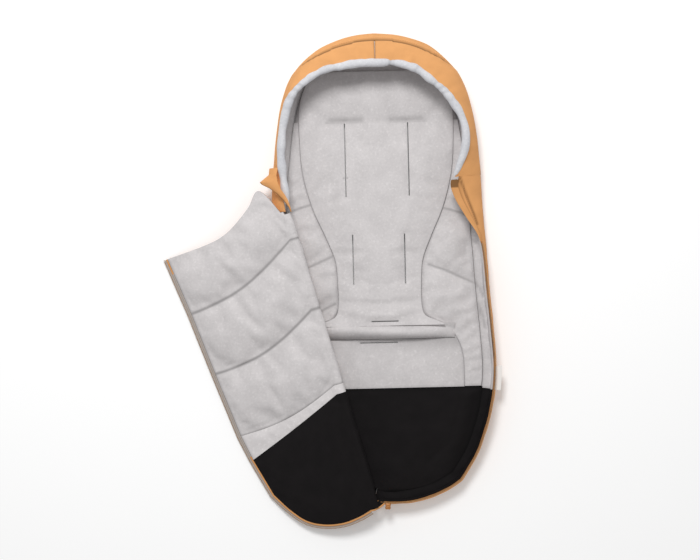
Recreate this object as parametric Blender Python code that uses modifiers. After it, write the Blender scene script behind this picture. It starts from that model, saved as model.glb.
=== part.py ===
"""A stroller footmuff, lying on its back with the front cover folded open to the left.

Metres, +Z up. +Y points to the head, +X to the side of the zip. The origin is the middle
of the back panel's underside.
"""

import math

import bmesh
import bpy
from mathutils import Matrix, Vector

# Overall size of the body
BODY_LENGTH = 0.945
BODY_WIDTH = 0.464

# Toe, a round stretch that the zip follows
TOE_ARC_X = 0.024
TOE_ARC_RADIUS = 0.222
TOE_ARC_START_DEG = -53.0
TOE_ARC_LEFT_DEG = -106.0

# Fabric layers
SHELL_THICKNESS = 0.0012
LINING_THICKNESS = 0.0015
BACK_WADDING = 0.0080
WALL_WADDING = 0.0060
LEFT_WADDING = 0.0022
EDGE_WADDING = 0.0020
LAYER_GAP = 0.0003
LINING_GAP = 0.0005
SEAM_GAP = 0.0004
LINING_SEAM_GAP = 0.0014

# Walls
BASE_INSET = 0.028
HOOD_HEIGHT = 0.092
HOOD_LEAN = 0.054
WALL_BULGE = 0.014
LEFT_DRAW_IN = 0.055

# Fold line that the cover turns on, at its toe end and its head end
FOLD_TOE_X = -0.020
FOLD_TOE_Y = -0.462
FOLD_TOE_Z = 0.046
FOLD_HEAD_X = -0.183
FOLD_HEAD_Y = 0.120
FOLD_HEAD_Z = 0.060
FOLD_ROLL_RADIUS = 0.008
FOLD_DROOP_DEG = 11.7
FOLD_SEAT_DEG = 30.0
FOLD_SEAT_TOE_DEG = 75.0

# Hood rim
RIM_RADIUS = 0.0085
RIM_GAP = 0.0012

# Front cover, measured along and across the fold line
COVER_WIDTH = 0.262
COVER_LENGTH = 0.600
COVER_CORNER_RISE = 0.062
COVER_TOE_BOW = 0.049
COVER_SEAM_SAG = 0.020
COVER_CROWN = 0.019
COVER_FOOT_CROWN = 0.004
COVER_EDGE_WADDING = 0.0025
COVER_SEAM_GAP = 0.0016

# Seat panel, crotch roll and leg panel
SEAT_HEAD_Y = 0.400
SEAT_FOOT_Y = -0.112
SEAT_WIDTH = 0.153
SEAT_EDGE = 0.004
SEAT_CROWN = 0.009
ROLL_WIDTH = 0.226
ROLL_DEPTH = 0.024
ROLL_HEIGHT = 0.020
LEG_WIDTH = 0.330
LEG_FOOT_Y = -0.238
LEG_CROWN = 0.004
FLANK_CROWN = 0.012
FLANK_EDGE = 0.003
FLANK_WALL_GAP = 0.006

# Harness slots
SLOT_WIDTH = 0.008
SHOULDER_SLOT_X = 0.0634
SHOULDER_SLOT_Y = 0.221
SHOULDER_SLOT_LENGTH = 0.154
WAIST_SLOT_X = 0.052
WAIST_SLOT_Y = 0.022
WAIST_SLOT_LENGTH = 0.104
CROTCH_SLOT_Y = -0.103
CROTCH_SLOT_LENGTH = 0.054
LEG_SLOT_Y = -0.148
LEG_SLOT_LENGTH = 0.078
SLOT_OVERRUN = 0.010

# Zip
TAPE_THICKNESS = 0.0008
TAPE_WIDTH = 0.012
TEETH_WIDTH = 0.0030
TEETH_HEIGHT = 0.0024
SLIDER_LENGTH = 0.011
SLIDER_WIDTH = 0.0090
SLIDER_HEIGHT = 0.0075
SLIDER_WALL = 0.0015
SLIDER_CLEARANCE = 0.0008
SLIDER_REACH = 0.0052
SLIDER_START_DEG = -94.6
PULL_LENGTH = 0.024
PULL_WIDTH = 0.0060
PULL_THICKNESS = 0.0014
PULL_PIN_RADIUS = 0.0007
PULL_CLEARANCE = 0.0004
STOP_LENGTH = 0.0050

# Trim
BINDING_RADIUS = 0.0022
FLAP_THICKNESS = 0.0025
PLACKET_WIDTH = 0.013
TAG_LENGTH = 0.048
TAG_REACH = 0.012
TAG_THICKNESS = 0.0010

# Right half of the outline, from the head to the start of the toe arc,
# as shares of half the width and half the length
OUTLINE_SHARES = (
    (0.0, 1.0), (0.155, 0.993), (0.316, 0.974), (0.456, 0.945), (0.562, 0.906),
    (0.654, 0.860), (0.722, 0.812), (0.772, 0.760), (0.813, 0.694), (0.848, 0.600),
    (0.875, 0.497), (0.903, 0.371), (0.915, 0.222), (0.937, 0.057), (0.955, -0.090),
    (0.985, -0.273), (1.0, -0.430), (0.965, -0.580), (0.899, -0.700), (0.810, -0.806),
)

# Left half's own last points, before the toe arc
LEFT_TOE_SHARES = ((0.660, -0.900), (0.430, -0.955))

# Seams around the wall, as shares of each half outline from the head to the toe
HOOD_RIGHT_SHARE = 0.335
HOOD_LEFT_SHARE = 0.391
BAND_SEAM_SHARE = 0.50
FOOT_SEAM_SHARE = 0.695
TOE_SEAM_SHARE = 1.017
ZIP_HEAD_SHARE = 0.450
ZIP_TOE_SHARE = 1.006
RIM_RIGHT_SHARE = 0.316
RIM_LEFT_SHARE = 0.325
ROLL_TOE_SHARE = 0.07
ROLL_HEAD_SHARE = 0.99
TAG_PLACE_SHARE = 0.675
TAG_RISE_SHARE = 0.90
PLACKET_HEAD_SHARE = 0.340
PLACKET_TOE_SHARE = 0.446
PLACKET_TAPER_SHARE = 0.6
FLAP_REACH_SHARE = 0.9
FOOT_TOE_SHARE = 1.1
STOP_SIZE_SHARE = 1.2
ZIP_BOX_SIZE_SHARE = 1.5

# Shape of the wall around each half outline: (place share, value share)
RIGHT_HEIGHT_SHARES = (
    (0.0, 1.0), (0.15, 1.0), (0.20, 0.95), (0.30, 0.78), (0.345, 0.67), (0.40, 0.585),
    (0.47, 0.54), (0.70, 0.50), (0.78, 0.41), (0.85, 0.326), (1.02, 0.326),
)
LEFT_HEIGHT_SHARES = (
    (0.0, 1.0), (0.15, 1.0), (0.20, 0.93), (0.30, 0.70), (0.36, 0.60), (0.391, 0.60),
)
RIGHT_LEAN_SHARES = (
    (0.0, 1.0), (0.05, 0.90), (0.10, 0.86), (0.14, 0.80), (0.17, 0.68), (0.20, 0.52),
    (0.235, 0.32), (0.265, 0.28), (0.29, 0.36), (0.32, 0.66), (0.345, 0.93),
    (0.37, 0.84), (0.40, 0.54), (0.43, 0.26), (0.46, 0.16), (0.52, 0.13), (1.02, 0.10),
)
LEFT_LEAN_SHARES = (
    (0.0, 1.0), (0.05, 0.90), (0.085, 0.80), (0.118, 0.60), (0.15, 0.40), (0.186, 0.22),
    (0.22, 0.14), (0.26, 0.11), (0.30, 0.14), (0.34, 0.26), (0.391, 0.41),
)
RIGHT_ROUND_SHARES = (
    (0.0, 1.0), (0.15, 0.95), (0.22, 0.70), (0.29, 0.66), (0.345, 0.88), (0.40, 0.72),
    (0.46, 0.55), (1.02, 0.55),
)
LEFT_ROUND_SHARES = (
    (0.0, 1.0), (0.15, 0.90), (0.20, 0.66), (0.30, 0.62), (0.391, 0.70),
)
RIGHT_SHOULDER_SHARES = (
    (0.0, 0.95), (0.15, 0.90), (0.22, 0.30), (0.29, 0.20), (0.345, 0.50), (0.40, 0.20),
    (0.46, -0.20), (1.02, -0.20),
)
LEFT_SHOULDER_SHARES = (
    (0.0, 0.95), (0.15, 0.60), (0.20, 0.15), (0.30, 0.0), (0.391, 0.30),
)

# Seat panel's half width from its foot to its head: (place share, width share)
SEAT_WIDTH_SHARES = (
    (0.0, 0.80), (0.10, 0.60), (0.18, 0.55), (0.26, 0.57), (0.35, 0.69), (0.46, 0.85),
    (0.58, 0.96), (0.68, 1.0), (0.86, 1.0), (0.95, 0.90), (1.0, 0.76),
)
FLANK_SEAM_SHARES = (0.0, 0.30, 0.62, 1.0)

# Rows of the cover: place at the fold edge and at the zip edge as shares of the cover's
# length, and the zip edge's reach as a share of the cover's width
COVER_ROW_SHARES = (
    (-0.020, 0.113, 0.740), (0.380, 0.245, 0.817), (0.410, 0.333, 0.855),
    (0.672, 0.557, 0.905), (0.915, 0.773, 0.947), (1.0, 0.973, 1.0),
)
COVER_TOE_SHARES = (
    (0.0, 0.0), (0.16, 0.42), (0.35, 0.80), (0.56, 1.0), (0.74, 0.94), (0.88, 0.55), (1.0, 0.0),
)
COVER_NECK_SHARES = (
    (0.0, 0.0), (0.125, 1.0), (0.25, 0.62), (0.44, 0.17), (0.60, 0.0), (1.0, 0.0),
)

# Counts
WALL_STEPS = 5
LEFT_STEPS = 9
WALL_LEG_STEPS = 12
WALL_FOOT_STEPS = 10
LEFT_LEG_STEPS = 8
LEFT_FOOT_STEPS = 9
HOOD_HALF_STEPS = 11
HOOD_WALL_STEPS = 6
BASE_SEARCH_STEPS = 112
COVER_COLUMNS = 8
CHANNEL_ROWS = 5
FOOT_ROWS = 4
SEAT_ROWS = 16
SEAT_COLUMNS = 8
FLANK_HEAD_ROWS = 14
FLANK_LEG_ROWS = 5
FLANK_COLUMNS = 4
ZIP_STEPS = 44
SPLINE_STEPS = 8
ARC_STEPS = 24

SHARP_DEG = 45.0
COLLECTION_NAME = "stroller_footmuff"
CUTTER_COLLECTION_NAME = "cutters"

HALF_LENGTH = BODY_LENGTH / 2
HALF_WIDTH = BODY_WIDTH / 2
TOE_ARC_Y = TOE_ARC_RADIUS - HALF_LENGTH
FLOOR_TOP = SHELL_THICKNESS + LAYER_GAP + BACK_WADDING
FLOOR_PAD = FLOOR_TOP + LAYER_GAP
TAPE_OUT = LINING_GAP + TAPE_THICKNESS / 2
UP = Vector((0.0, 0.0, 1.0))


def clear_scene():
    """Remove what the file holds, so that the script can run again."""
    for old in list(bpy.data.objects):
        bpy.data.objects.remove(old, do_unlink=True)
    for old in list(bpy.data.collections):
        bpy.data.collections.remove(old)


def make_collection(name):
    """A collection under the scene's own."""
    collection = bpy.data.collections.new(name)
    bpy.context.scene.collection.children.link(collection)
    return collection


def linear(value):
    """One sRGB channel from 0 to 1 as a linear value."""
    if value <= 0.04045:
        return value / 12.92
    return ((value + 0.055) / 1.055) ** 2.4


def make_material(name, hex_colour, roughness, metallic=0.0):
    """A Principled material with a colour written as sRGB hex."""
    channels = [int(hex_colour[i:i + 2], 16) / 255 for i in (0, 2, 4)]
    material = bpy.data.materials.new(name)
    material.use_nodes = True
    shader = material.node_tree.nodes["Principled BSDF"]
    shader.inputs["Base Color"].default_value = [linear(c) for c in channels] + [1.0]
    shader.inputs["Roughness"].default_value = roughness
    shader.inputs["Metallic"].default_value = metallic
    return material


def add_object(name, data, material, collection, parent=None):
    """Put a mesh in the scene under one name, smooth but for its sharp edges."""
    data.shade_smooth()
    data.set_sharp_from_angle(angle=math.radians(SHARP_DEG))
    piece = bpy.data.objects.new(name, data)
    data.materials.append(material)
    collection.objects.link(piece)
    if parent is not None:
        piece.parent = parent
    return piece


def steps(first, last, count):
    """Evenly spaced places from first to last."""
    return [first + (last - first) * i / count for i in range(count + 1)]


def follow(table, place):
    """Smooth value at a place through a table of (place, value) pairs."""
    if place <= table[0][0]:
        return table[0][1]
    if place >= table[-1][0]:
        return table[-1][1]
    index = next(i for i in range(1, len(table)) if place <= table[i][0])
    before = table[max(index - 2, 0)]
    start = table[index - 1]
    end = table[index]
    after = table[min(index + 1, len(table) - 1)]
    span = end[0] - start[0]
    slope_start = (end[1] - before[1]) / (end[0] - before[0]) * span
    slope_end = (after[1] - start[1]) / (after[0] - start[0]) * span
    share = (place - start[0]) / span
    square = share * share
    cube = square * share
    return (
        start[1] * (2 * cube - 3 * square + 1) + slope_start * (cube - 2 * square + share)
        + end[1] * (3 * square - 2 * cube) + slope_end * (cube - square)
    )


def spline(points, count):
    """Points along a smooth curve through the given ones."""
    result = []
    last = len(points) - 1
    for i in range(last):
        before = points[max(i - 1, 0)]
        start = points[i]
        end = points[i + 1]
        after = points[min(i + 2, last)]
        for k in range(count):
            share = k / count
            square = share * share
            cube = square * share
            result.append(0.5 * (
                2 * start + (end - before) * share
                + (2 * before - 5 * start + 4 * end - after) * square
                + (3 * start - before - 3 * end + after) * cube
            ))
    result.append(points[-1])
    return result


def toe_arc_point(angle, radius=TOE_ARC_RADIUS):
    """A point on the toe's round stretch."""
    return Vector((TOE_ARC_X + radius * math.cos(angle), TOE_ARC_Y + radius * math.sin(angle)))


def half_outline(side):
    """One half of the outline from the middle of the head to the middle of the toe, to the
    right for a side of 1. The toe's round stretch goes on a little to the left."""
    shares = OUTLINE_SHARES if side > 0 else OUTLINE_SHARES[:-1] + LEFT_TOE_SHARES
    points = [Vector((side * x * HALF_WIDTH, y * HALF_LENGTH)) for x, y in shares]
    start = math.radians(TOE_ARC_START_DEG if side > 0 else TOE_ARC_LEFT_DEG)
    end = -math.acos(-TOE_ARC_X / TOE_ARC_RADIUS)
    arc = [toe_arc_point(start + (end - start) * i / ARC_STEPS) for i in range(ARC_STEPS + 1)]
    return spline(points + [arc[0]], SPLINE_STEPS)[:-1] + arc


def running_lengths(points):
    """Length along a path up to each of its points."""
    lengths = [0.0]
    for start, end in zip(points, points[1:]):
        lengths.append(lengths[-1] + (end - start).length)
    return lengths


OUTLINES = {side: half_outline(side) for side in (-1, 1)}
OUTLINE_LENGTHS = {side: running_lengths(OUTLINES[side]) for side in (-1, 1)}
OUTLINE_LENGTH = OUTLINE_LENGTHS[1][-1]


def outline_point(place):
    """Silhouette at a share of the half outline: right for positive places, left for
    negative ones. A place past 1 goes on over the toe to the left."""
    if place > 1.0:
        place -= 2.0
    side = -1 if place < 0 else 1
    points = OUTLINES[side]
    lengths = OUTLINE_LENGTHS[side]
    target = abs(place) * lengths[-1]
    index = 1
    while index < len(points) - 1 and lengths[index] < target:
        index += 1
    share = (target - lengths[index - 1]) / (lengths[index] - lengths[index - 1])
    point = points[index - 1].lerp(points[index], share)
    return Vector((point.x, point.y, 0.0))


def outline_normal(place):
    """Outward direction of the silhouette, level."""
    reach_share = 0.006
    ahead = outline_point(place + reach_share)
    behind = outline_point(place - reach_share)
    along = (ahead - behind).normalized()
    return Vector((-along.y, along.x, 0.0))


FOLD_TOE = Vector((FOLD_TOE_X, FOLD_TOE_Y, FOLD_TOE_Z))
FOLD_HEAD = Vector((FOLD_HEAD_X, FOLD_HEAD_Y, FOLD_HEAD_Z))
FOLD_ALONG = (FOLD_HEAD - FOLD_TOE).normalized()
FOLD_OUT = Vector((-FOLD_ALONG.y, FOLD_ALONG.x, 0.0)).normalized()


def fold_seat(share):
    """Place of the left panel's upper edge, against the lower left of the fold roll, and
    nearly under it at the toe. The share runs from 0 at the head end to 1 at the toe end."""
    centre = FOLD_HEAD.lerp(FOLD_TOE, share * (1 - ROLL_TOE_SHARE))
    reach = FOLD_ROLL_RADIUS + LAYER_GAP
    late = max(0.0, (share - 0.7) / 0.3)
    angle = math.radians(FOLD_SEAT_DEG + (FOLD_SEAT_TOE_DEG - FOLD_SEAT_DEG) * late)
    return centre + FOLD_OUT * reach * math.cos(angle) - UP * reach * math.sin(angle)


def wall_controls(place):
    """Four points that shape the wall's outer surface above one place of the outline."""
    foot = outline_point(place)
    out = outline_normal(place)
    base = foot - out * BASE_INSET
    if place < -HOOD_LEFT_SHARE:
        share = min(1.0, (-place - HOOD_LEFT_SHARE) / (2 - TOE_SEAM_SHARE - HOOD_LEFT_SHARE))
        drawn = -out * LEFT_DRAW_IN * math.sin(math.pi * share) ** 0.8
        foot += drawn
        top = fold_seat(share)
        slack = min(1.0, (Vector((top.x, top.y, 0.0)) - foot).length / (BASE_INSET * 4))
        high_out = WALL_BULGE * (0.2 + slack * 1.2)
        high_z = top.z * (0.75 - slack * 0.17)
        return base + drawn, foot + out * WALL_BULGE, foot + out * high_out + UP * high_z, top
    if place < 0:
        tables = (LEFT_HEIGHT_SHARES, LEFT_LEAN_SHARES, LEFT_ROUND_SHARES, LEFT_SHOULDER_SHARES)
    else:
        tables = (RIGHT_HEIGHT_SHARES, RIGHT_LEAN_SHARES, RIGHT_ROUND_SHARES, RIGHT_SHOULDER_SHARES)
    height, lean, roundness, shoulder = (follow(table, abs(place)) for table in tables)
    top_z = HOOD_HEIGHT * height
    low = foot + out * WALL_BULGE
    high = foot + out * WALL_BULGE * shoulder + UP * top_z * roundness
    return base, low, high, foot - out * HOOD_LEAN * lean + UP * top_z


def wall_point(place, rise):
    """Outer surface of the wall; rise runs from 0 at the floor to 1 at the top edge."""
    base, low, high, top = wall_controls(place)
    rest = 1 - rise
    return (
        base * rest ** 3 + low * 3 * rise * rest ** 2
        + high * 3 * rise ** 2 * rest + top * rise ** 3
    )


def wall_slope(place, rise):
    """Direction of the wall's surface upwards."""
    base, low, high, top = wall_controls(place)
    rest = 1 - rise
    slope = (low - base) * rest ** 2 + (high - low) * 2 * rise * rest + (top - high) * rise ** 2
    return slope.normalized()


def wall_normal(place, rise):
    """Outward normal of the wall's surface."""
    reach_share = 0.004
    along = wall_point(place + reach_share, rise) - wall_point(place - reach_share, rise)
    return along.cross(wall_slope(place, rise)).normalized() * -1


def wall_wadding(place, rise):
    """Wadding thickness, full at the floor and drawn in at the top edge."""
    full = LEFT_WADDING if place < -HOOD_LEFT_SHARE else WALL_WADDING
    edge = min(full, EDGE_WADDING)
    taper = max(0.0, (rise - 0.6) / 0.4)
    return full + (edge - full) * taper * taper


def wall_rows(places, rises, depth):
    """Grid of points at a depth under the wall's outer surface."""
    rows = []
    for place in places:
        row = []
        for rise in rises:
            inward = depth(place, rise)
            row.append(wall_point(place, rise) - wall_normal(place, rise) * inward)
        rows.append(row)
    return rows


def hood_places():
    """Places around the hood, from its left corner over the head to its right corner."""
    return (steps(-HOOD_LEFT_SHARE, 0.0, HOOD_HALF_STEPS)
            + steps(0.0, HOOD_RIGHT_SHARE, HOOD_HALF_STEPS)[1:])


def right_places():
    """Places along the right wall, from the hood round the toe, through the foot seam."""
    return (steps(HOOD_RIGHT_SHARE, FOOT_SEAM_SHARE, WALL_LEG_STEPS)
            + steps(FOOT_SEAM_SHARE, TOE_SEAM_SHARE, WALL_FOOT_STEPS)[1:])


def left_places():
    """Places along the left side, from the toe to the hood, through the foot seam."""
    return (steps(TOE_SEAM_SHARE - 2, -FOOT_SEAM_SHARE, LEFT_FOOT_STEPS)
            + steps(-FOOT_SEAM_SHARE, -HOOD_LEFT_SHARE, LEFT_LEG_STEPS)[1:])


def drawn_in(places, gap=SEAM_GAP):
    """The same places with both ends drawn in by half a seam's gap."""
    half = gap / 2 / OUTLINE_LENGTH
    return [places[0] + half] + places[1:-1] + [places[-1] - half]


def grid_faces(row_count, column_count, start=0):
    """Triangles over a grid of points, all cut along the same diagonal."""
    faces = []
    for i in range(row_count - 1):
        for j in range(column_count - 1):
            a = start + i * column_count + j
            b = a + column_count
            faces.append((a, b, b + 1))
            faces.append((a, b + 1, a + 1))
    return faces


def outward(mesh):
    """Turn the faces of a closed mesh outwards."""
    work = bmesh.new()
    work.from_mesh(mesh)
    bmesh.ops.recalc_face_normals(work, faces=work.faces)
    work.to_mesh(mesh)
    work.free()


def open_surface(name, rows):
    """Open triangulated surface through a grid of points."""
    mesh = bpy.data.meshes.new(name)
    points = [point for row in rows for point in row]
    mesh.from_pydata(points, [], grid_faces(len(rows), len(rows[0])))
    mesh.update()
    return mesh


def fabric(name, rows, thickness, material, collection, parent=None):
    """A fabric sheet whose middle surface runs through a grid of points."""
    piece = add_object(name, open_surface(name, rows), material, collection, parent)
    solidify = piece.modifiers.new("fabric thickness", "SOLIDIFY")
    solidify.thickness = thickness
    solidify.offset = 0.0
    return piece


def pad(name, lower, upper, material, collection, parent=None):
    """A closed pad lofted between a lower and an upper grid of points."""
    row_count = len(lower)
    column_count = len(lower[0])
    points = [point for row in lower for point in row] + [point for row in upper for point in row]
    offset = row_count * column_count
    faces = grid_faces(row_count, column_count) + grid_faces(row_count, column_count, offset)
    border = [j for j in range(column_count)]
    border += [i * column_count + column_count - 1 for i in range(1, row_count)]
    border += [(row_count - 1) * column_count + j for j in range(column_count - 2, -1, -1)]
    border += [i * column_count for i in range(row_count - 2, 0, -1)]
    for first, second in zip(border, border[1:] + border[:1]):
        faces.append((first, second, second + offset))
        faces.append((first, second + offset, first + offset))
    mesh = bpy.data.meshes.new(name)
    mesh.from_pydata(points, [], faces)
    mesh.update()
    outward(mesh)
    return add_object(name, mesh, material, collection, parent)


def plate(name, outline, low, thickness, material, collection):
    """A flat plate from a closed outline, as a mesh that can be cut."""
    curve = bpy.data.curves.new(name, "CURVE")
    curve.dimensions = "2D"
    curve.fill_mode = "BOTH"
    curve.extrude = thickness / 2
    shape = curve.splines.new("POLY")
    shape.points.add(len(outline) - 1)
    for target, point in zip(shape.points, outline):
        target.co = (point.x, point.y, 0.0, 1.0)
    shape.use_cyclic_u = True
    return curve_to_mesh(name, curve, Vector((0.0, 0.0, low + thickness / 2)), material, collection)


def curve_to_mesh(name, curve, location, material, collection, parent=None):
    """Make a curve a closed mesh object of the same name."""
    source = bpy.data.objects.new(name + " curve", curve)
    collection.objects.link(source)
    source.location = location
    bpy.context.view_layer.update()
    evaluated = source.evaluated_get(bpy.context.evaluated_depsgraph_get())
    mesh = bpy.data.meshes.new_from_object(evaluated)
    mesh.materials.clear()
    work = bmesh.new()
    work.from_mesh(mesh)
    bmesh.ops.remove_doubles(work, verts=work.verts, dist=LAYER_GAP / 30)
    bmesh.ops.triangulate(work, faces=work.faces)
    bmesh.ops.recalc_face_normals(work, faces=work.faces)
    work.to_mesh(mesh)
    work.free()
    matrix = source.matrix_world.copy()
    bpy.data.objects.remove(source, do_unlink=True)
    piece = add_object(name, mesh, material, collection, parent)
    piece.matrix_local = matrix
    return piece


def tube(name, points, radius, resolution, material, collection, parent=None):
    """A round roll or piping along a path."""
    curve = bpy.data.curves.new(name, "CURVE")
    curve.dimensions = "3D"
    curve.bevel_depth = radius
    curve.bevel_resolution = resolution
    curve.use_fill_caps = True
    shape = curve.splines.new("POLY")
    shape.points.add(len(points) - 1)
    for target, point in zip(shape.points, points):
        target.co = (point.x, point.y, point.z, 1.0)
    return curve_to_mesh(name, curve, Vector((0.0, 0.0, 0.0)), material, collection, parent)


def box_mesh(name, low, high):
    """A box between two corners."""
    work = bmesh.new()
    bmesh.ops.create_cube(work, size=1.0)
    size = high - low
    matrix = Matrix.Translation((low + high) / 2) @ Matrix.Diagonal((size.x, size.y, size.z, 1.0))
    bmesh.ops.transform(work, matrix=matrix, verts=work.verts)
    mesh = bpy.data.meshes.new(name)
    work.to_mesh(mesh)
    work.free()
    return mesh


def cylinder_mesh(name, radius, length, sides, centre, along):
    """A cylinder about a centre, along a direction."""
    work = bmesh.new()
    bmesh.ops.create_cone(
        work, cap_ends=True, segments=sides, radius1=radius, radius2=radius, depth=length,
    )
    turn = along.to_track_quat("Z", "Y").to_matrix().to_4x4()
    bmesh.ops.transform(work, matrix=Matrix.Translation(centre) @ turn, verts=work.verts)
    mesh = bpy.data.meshes.new(name)
    work.to_mesh(mesh)
    work.free()
    return mesh


def add_cutter(name, mesh, cutters, parent=None):
    """A hidden shape that others are cut or joined with."""
    cutter = bpy.data.objects.new(name, mesh)
    cutters.objects.link(cutter)
    cutter.display_type = "WIRE"
    cutter.hide_render = True
    cutter.parent = parent
    return cutter


def boolean(piece, cutter, operation="DIFFERENCE"):
    """Cut a piece with a cutter, or join it to one."""
    modifier = piece.modifiers.new(cutter.name, "BOOLEAN")
    modifier.operation = operation
    modifier.solver = "EXACT"
    modifier.object = cutter


def slot_cutters(cutters):
    """One cutter for each harness slot, right through the back."""
    half = SLOT_WIDTH / 2
    top = FLOOR_PAD + SEAT_EDGE + SEAT_CROWN + SLOT_OVERRUN
    slots = []
    for side, word in ((-1, "left"), (1, "right")):
        slots.append(("shoulder_slot_" + word, side * SHOULDER_SLOT_X, SHOULDER_SLOT_Y,
                      half, SHOULDER_SLOT_LENGTH / 2))
        slots.append(("waist_slot_" + word, side * WAIST_SLOT_X, WAIST_SLOT_Y,
                      half, WAIST_SLOT_LENGTH / 2))
    slots.append(("crotch_slot", 0.0, CROTCH_SLOT_Y, CROTCH_SLOT_LENGTH / 2, half))
    slots.append(("leg_slot", 0.0, LEG_SLOT_Y, LEG_SLOT_LENGTH / 2, half))
    made = {}
    for name, x, y, half_x, half_y in slots:
        low = Vector((x - half_x, y - half_y, -SLOT_OVERRUN))
        high = Vector((x + half_x, y + half_y, top))
        made[name] = add_cutter(name, box_mesh(name, low, high), cutters)
    return made


def base_outline(inset):
    """Closed outline of the flat back, inside the wall's base seam."""
    seams = hood_places() + right_places()[1:] + left_places()[1:-1]
    return [wall_point(place, 0.0) - outline_normal(place) * inset for place in seams]


def base_half_width(y, side):
    """Half width of the flat back at a place along the body, on one side."""
    places = steps(0.0, side, BASE_SEARCH_STEPS)
    points = [wall_point(place, 0.0) for place in places]
    for first, second in zip(points, points[1:]):
        if min(first.y, second.y) <= y <= max(first.y, second.y) and first.y != second.y:
            share = (y - first.y) / (second.y - first.y)
            return abs(first.x + (second.x - first.x) * share)
    return 0.0


def seat_half_width(y):
    """Half width of the seat panel, waisted at the harness."""
    share = (y - SEAT_FOOT_Y) / (SEAT_HEAD_Y - SEAT_FOOT_Y)
    return SEAT_WIDTH * follow(SEAT_WIDTH_SHARES, share)


def make_back(looks, parts, cutters):
    """Back panel: outer fabric, wadding and the panels that lie on it."""
    slots = slot_cutters(cutters)
    shell = plate("back_shell", base_outline(SEAM_GAP), 0.0, SHELL_THICKNESS,
                  looks["outer_fabric"], parts)
    wadding = plate("back_wadding", base_outline(SEAM_GAP), SHELL_THICKNESS + LAYER_GAP,
                    BACK_WADDING, looks["wadding"], parts)
    for piece in (shell, wadding):
        for cutter in slots.values():
            boolean(piece, cutter)
    seat = make_seat(looks, parts)
    for name in ("shoulder_slot_left", "shoulder_slot_right", "waist_slot_left",
                 "waist_slot_right", "crotch_slot"):
        boolean(seat, slots[name])
    make_crotch_roll(looks, parts)
    leg = make_leg_panel(looks, parts)
    boolean(leg, slots["leg_slot"])
    make_foot_panel(looks, parts)
    for side, word in ((-1, "left"), (1, "right")):
        make_flank("flank_" + word, side, looks, parts)


def make_seat(looks, parts):
    """Fleece seat panel with a crown and drawn-in sides."""
    lower = []
    upper = []
    for y in steps(SEAT_FOOT_Y, SEAT_HEAD_Y, SEAT_ROWS):
        half = seat_half_width(y)
        end = math.sin(math.pi * (y - SEAT_FOOT_Y) / (SEAT_HEAD_Y - SEAT_FOOT_Y))
        low_row = []
        high_row = []
        for across in steps(-1.0, 1.0, SEAT_COLUMNS):
            crown = SEAT_CROWN * math.sqrt(max(0.0, 1 - across ** 2)) * min(1.0, 2 * end)
            low_row.append(Vector((half * across, y, FLOOR_PAD)))
            high_row.append(Vector((half * across, y, FLOOR_PAD + SEAT_EDGE + crown)))
        lower.append(low_row)
        upper.append(high_row)
    return pad("seat_panel", lower, upper, looks["grey_fleece"], parts)


def make_crotch_roll(looks, parts):
    """Padded roll across the seat, flat underneath."""
    back = SEAT_FOOT_Y - LAYER_GAP
    lower = []
    upper = []
    for share in steps(-1.0, 1.0, 12):
        size = math.sqrt(max(0.0, 1 - share ** 4)) * 0.85 + 0.15
        low_row = []
        high_row = []
        for turn in steps(0.0, 1.0, 6):
            y = back - ROLL_DEPTH * turn
            arch = math.sin(math.pi * turn) ** 0.6 if 0 < turn < 1 else 0.0
            low_row.append(Vector((ROLL_WIDTH / 2 * share, y, FLOOR_PAD)))
            high_row.append(Vector((ROLL_WIDTH / 2 * share, y,
                                    FLOOR_PAD + SEAT_EDGE / 2 + ROLL_HEIGHT * arch * size)))
        lower.append(low_row)
        upper.append(high_row)
    return pad("crotch_roll", lower, upper, looks["grey_fleece"], parts)


def make_leg_panel(looks, parts):
    """Plain fleece panel between the crotch roll and the foot panel."""
    head = SEAT_FOOT_Y - ROLL_DEPTH - 2 * LAYER_GAP
    lower = []
    upper = []
    for y in steps(LEG_FOOT_Y, head, 5):
        right = LEG_WIDTH / 2 * (1 - 0.12 * ((y - LEG_FOOT_Y) / (head - LEG_FOOT_Y)) ** 2)
        left = min(right, base_half_width(y, -1) - FLANK_WALL_GAP)
        low_row = []
        high_row = []
        for across in steps(-1.0, 1.0, 6):
            x = right * across if across > 0 else left * across
            crown = LEG_CROWN * (1 - across ** 2)
            low_row.append(Vector((x, y, FLOOR_PAD)))
            high_row.append(Vector((x, y, FLOOR_PAD + LINING_THICKNESS + crown)))
        lower.append(low_row)
        upper.append(high_row)
    return pad("leg_panel", lower, upper, looks["grey_fleece"], parts)


def make_foot_panel(looks, parts):
    """Black panel under the feet, to the toe."""
    seam = LEG_FOOT_Y - LAYER_GAP
    lower = []
    upper = []
    toe = -HALF_LENGTH + BASE_INSET * FOOT_TOE_SHARE
    for y in steps(toe, seam, 8):
        right = base_half_width(y, 1) - LAYER_GAP
        left = base_half_width(y, -1) - LAYER_GAP
        low_row = []
        high_row = []
        for across in steps(-1.0, 1.0, 6):
            x = right * across if across > 0 else left * across
            low_row.append(Vector((x, y, FLOOR_PAD)))
            high_row.append(Vector((x, y, FLOOR_PAD + LINING_THICKNESS)))
        lower.append(low_row)
        upper.append(high_row)
    return pad("foot_panel", lower, upper, looks["black_fabric"], parts)


def flank_rows(side):
    """Places of the flank pad's rows, which line up with those of the seat panel."""
    leg_top = SEAT_FOOT_Y - ROLL_DEPTH
    if side > 0:
        below = steps(LEG_FOOT_Y + LAYER_GAP, SEAT_FOOT_Y, FLANK_LEG_ROWS)[:-1]
    else:
        below = [leg_top]
    return below + steps(SEAT_FOOT_Y, SEAT_HEAD_Y, SEAT_ROWS)[:FLANK_HEAD_ROWS]


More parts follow.
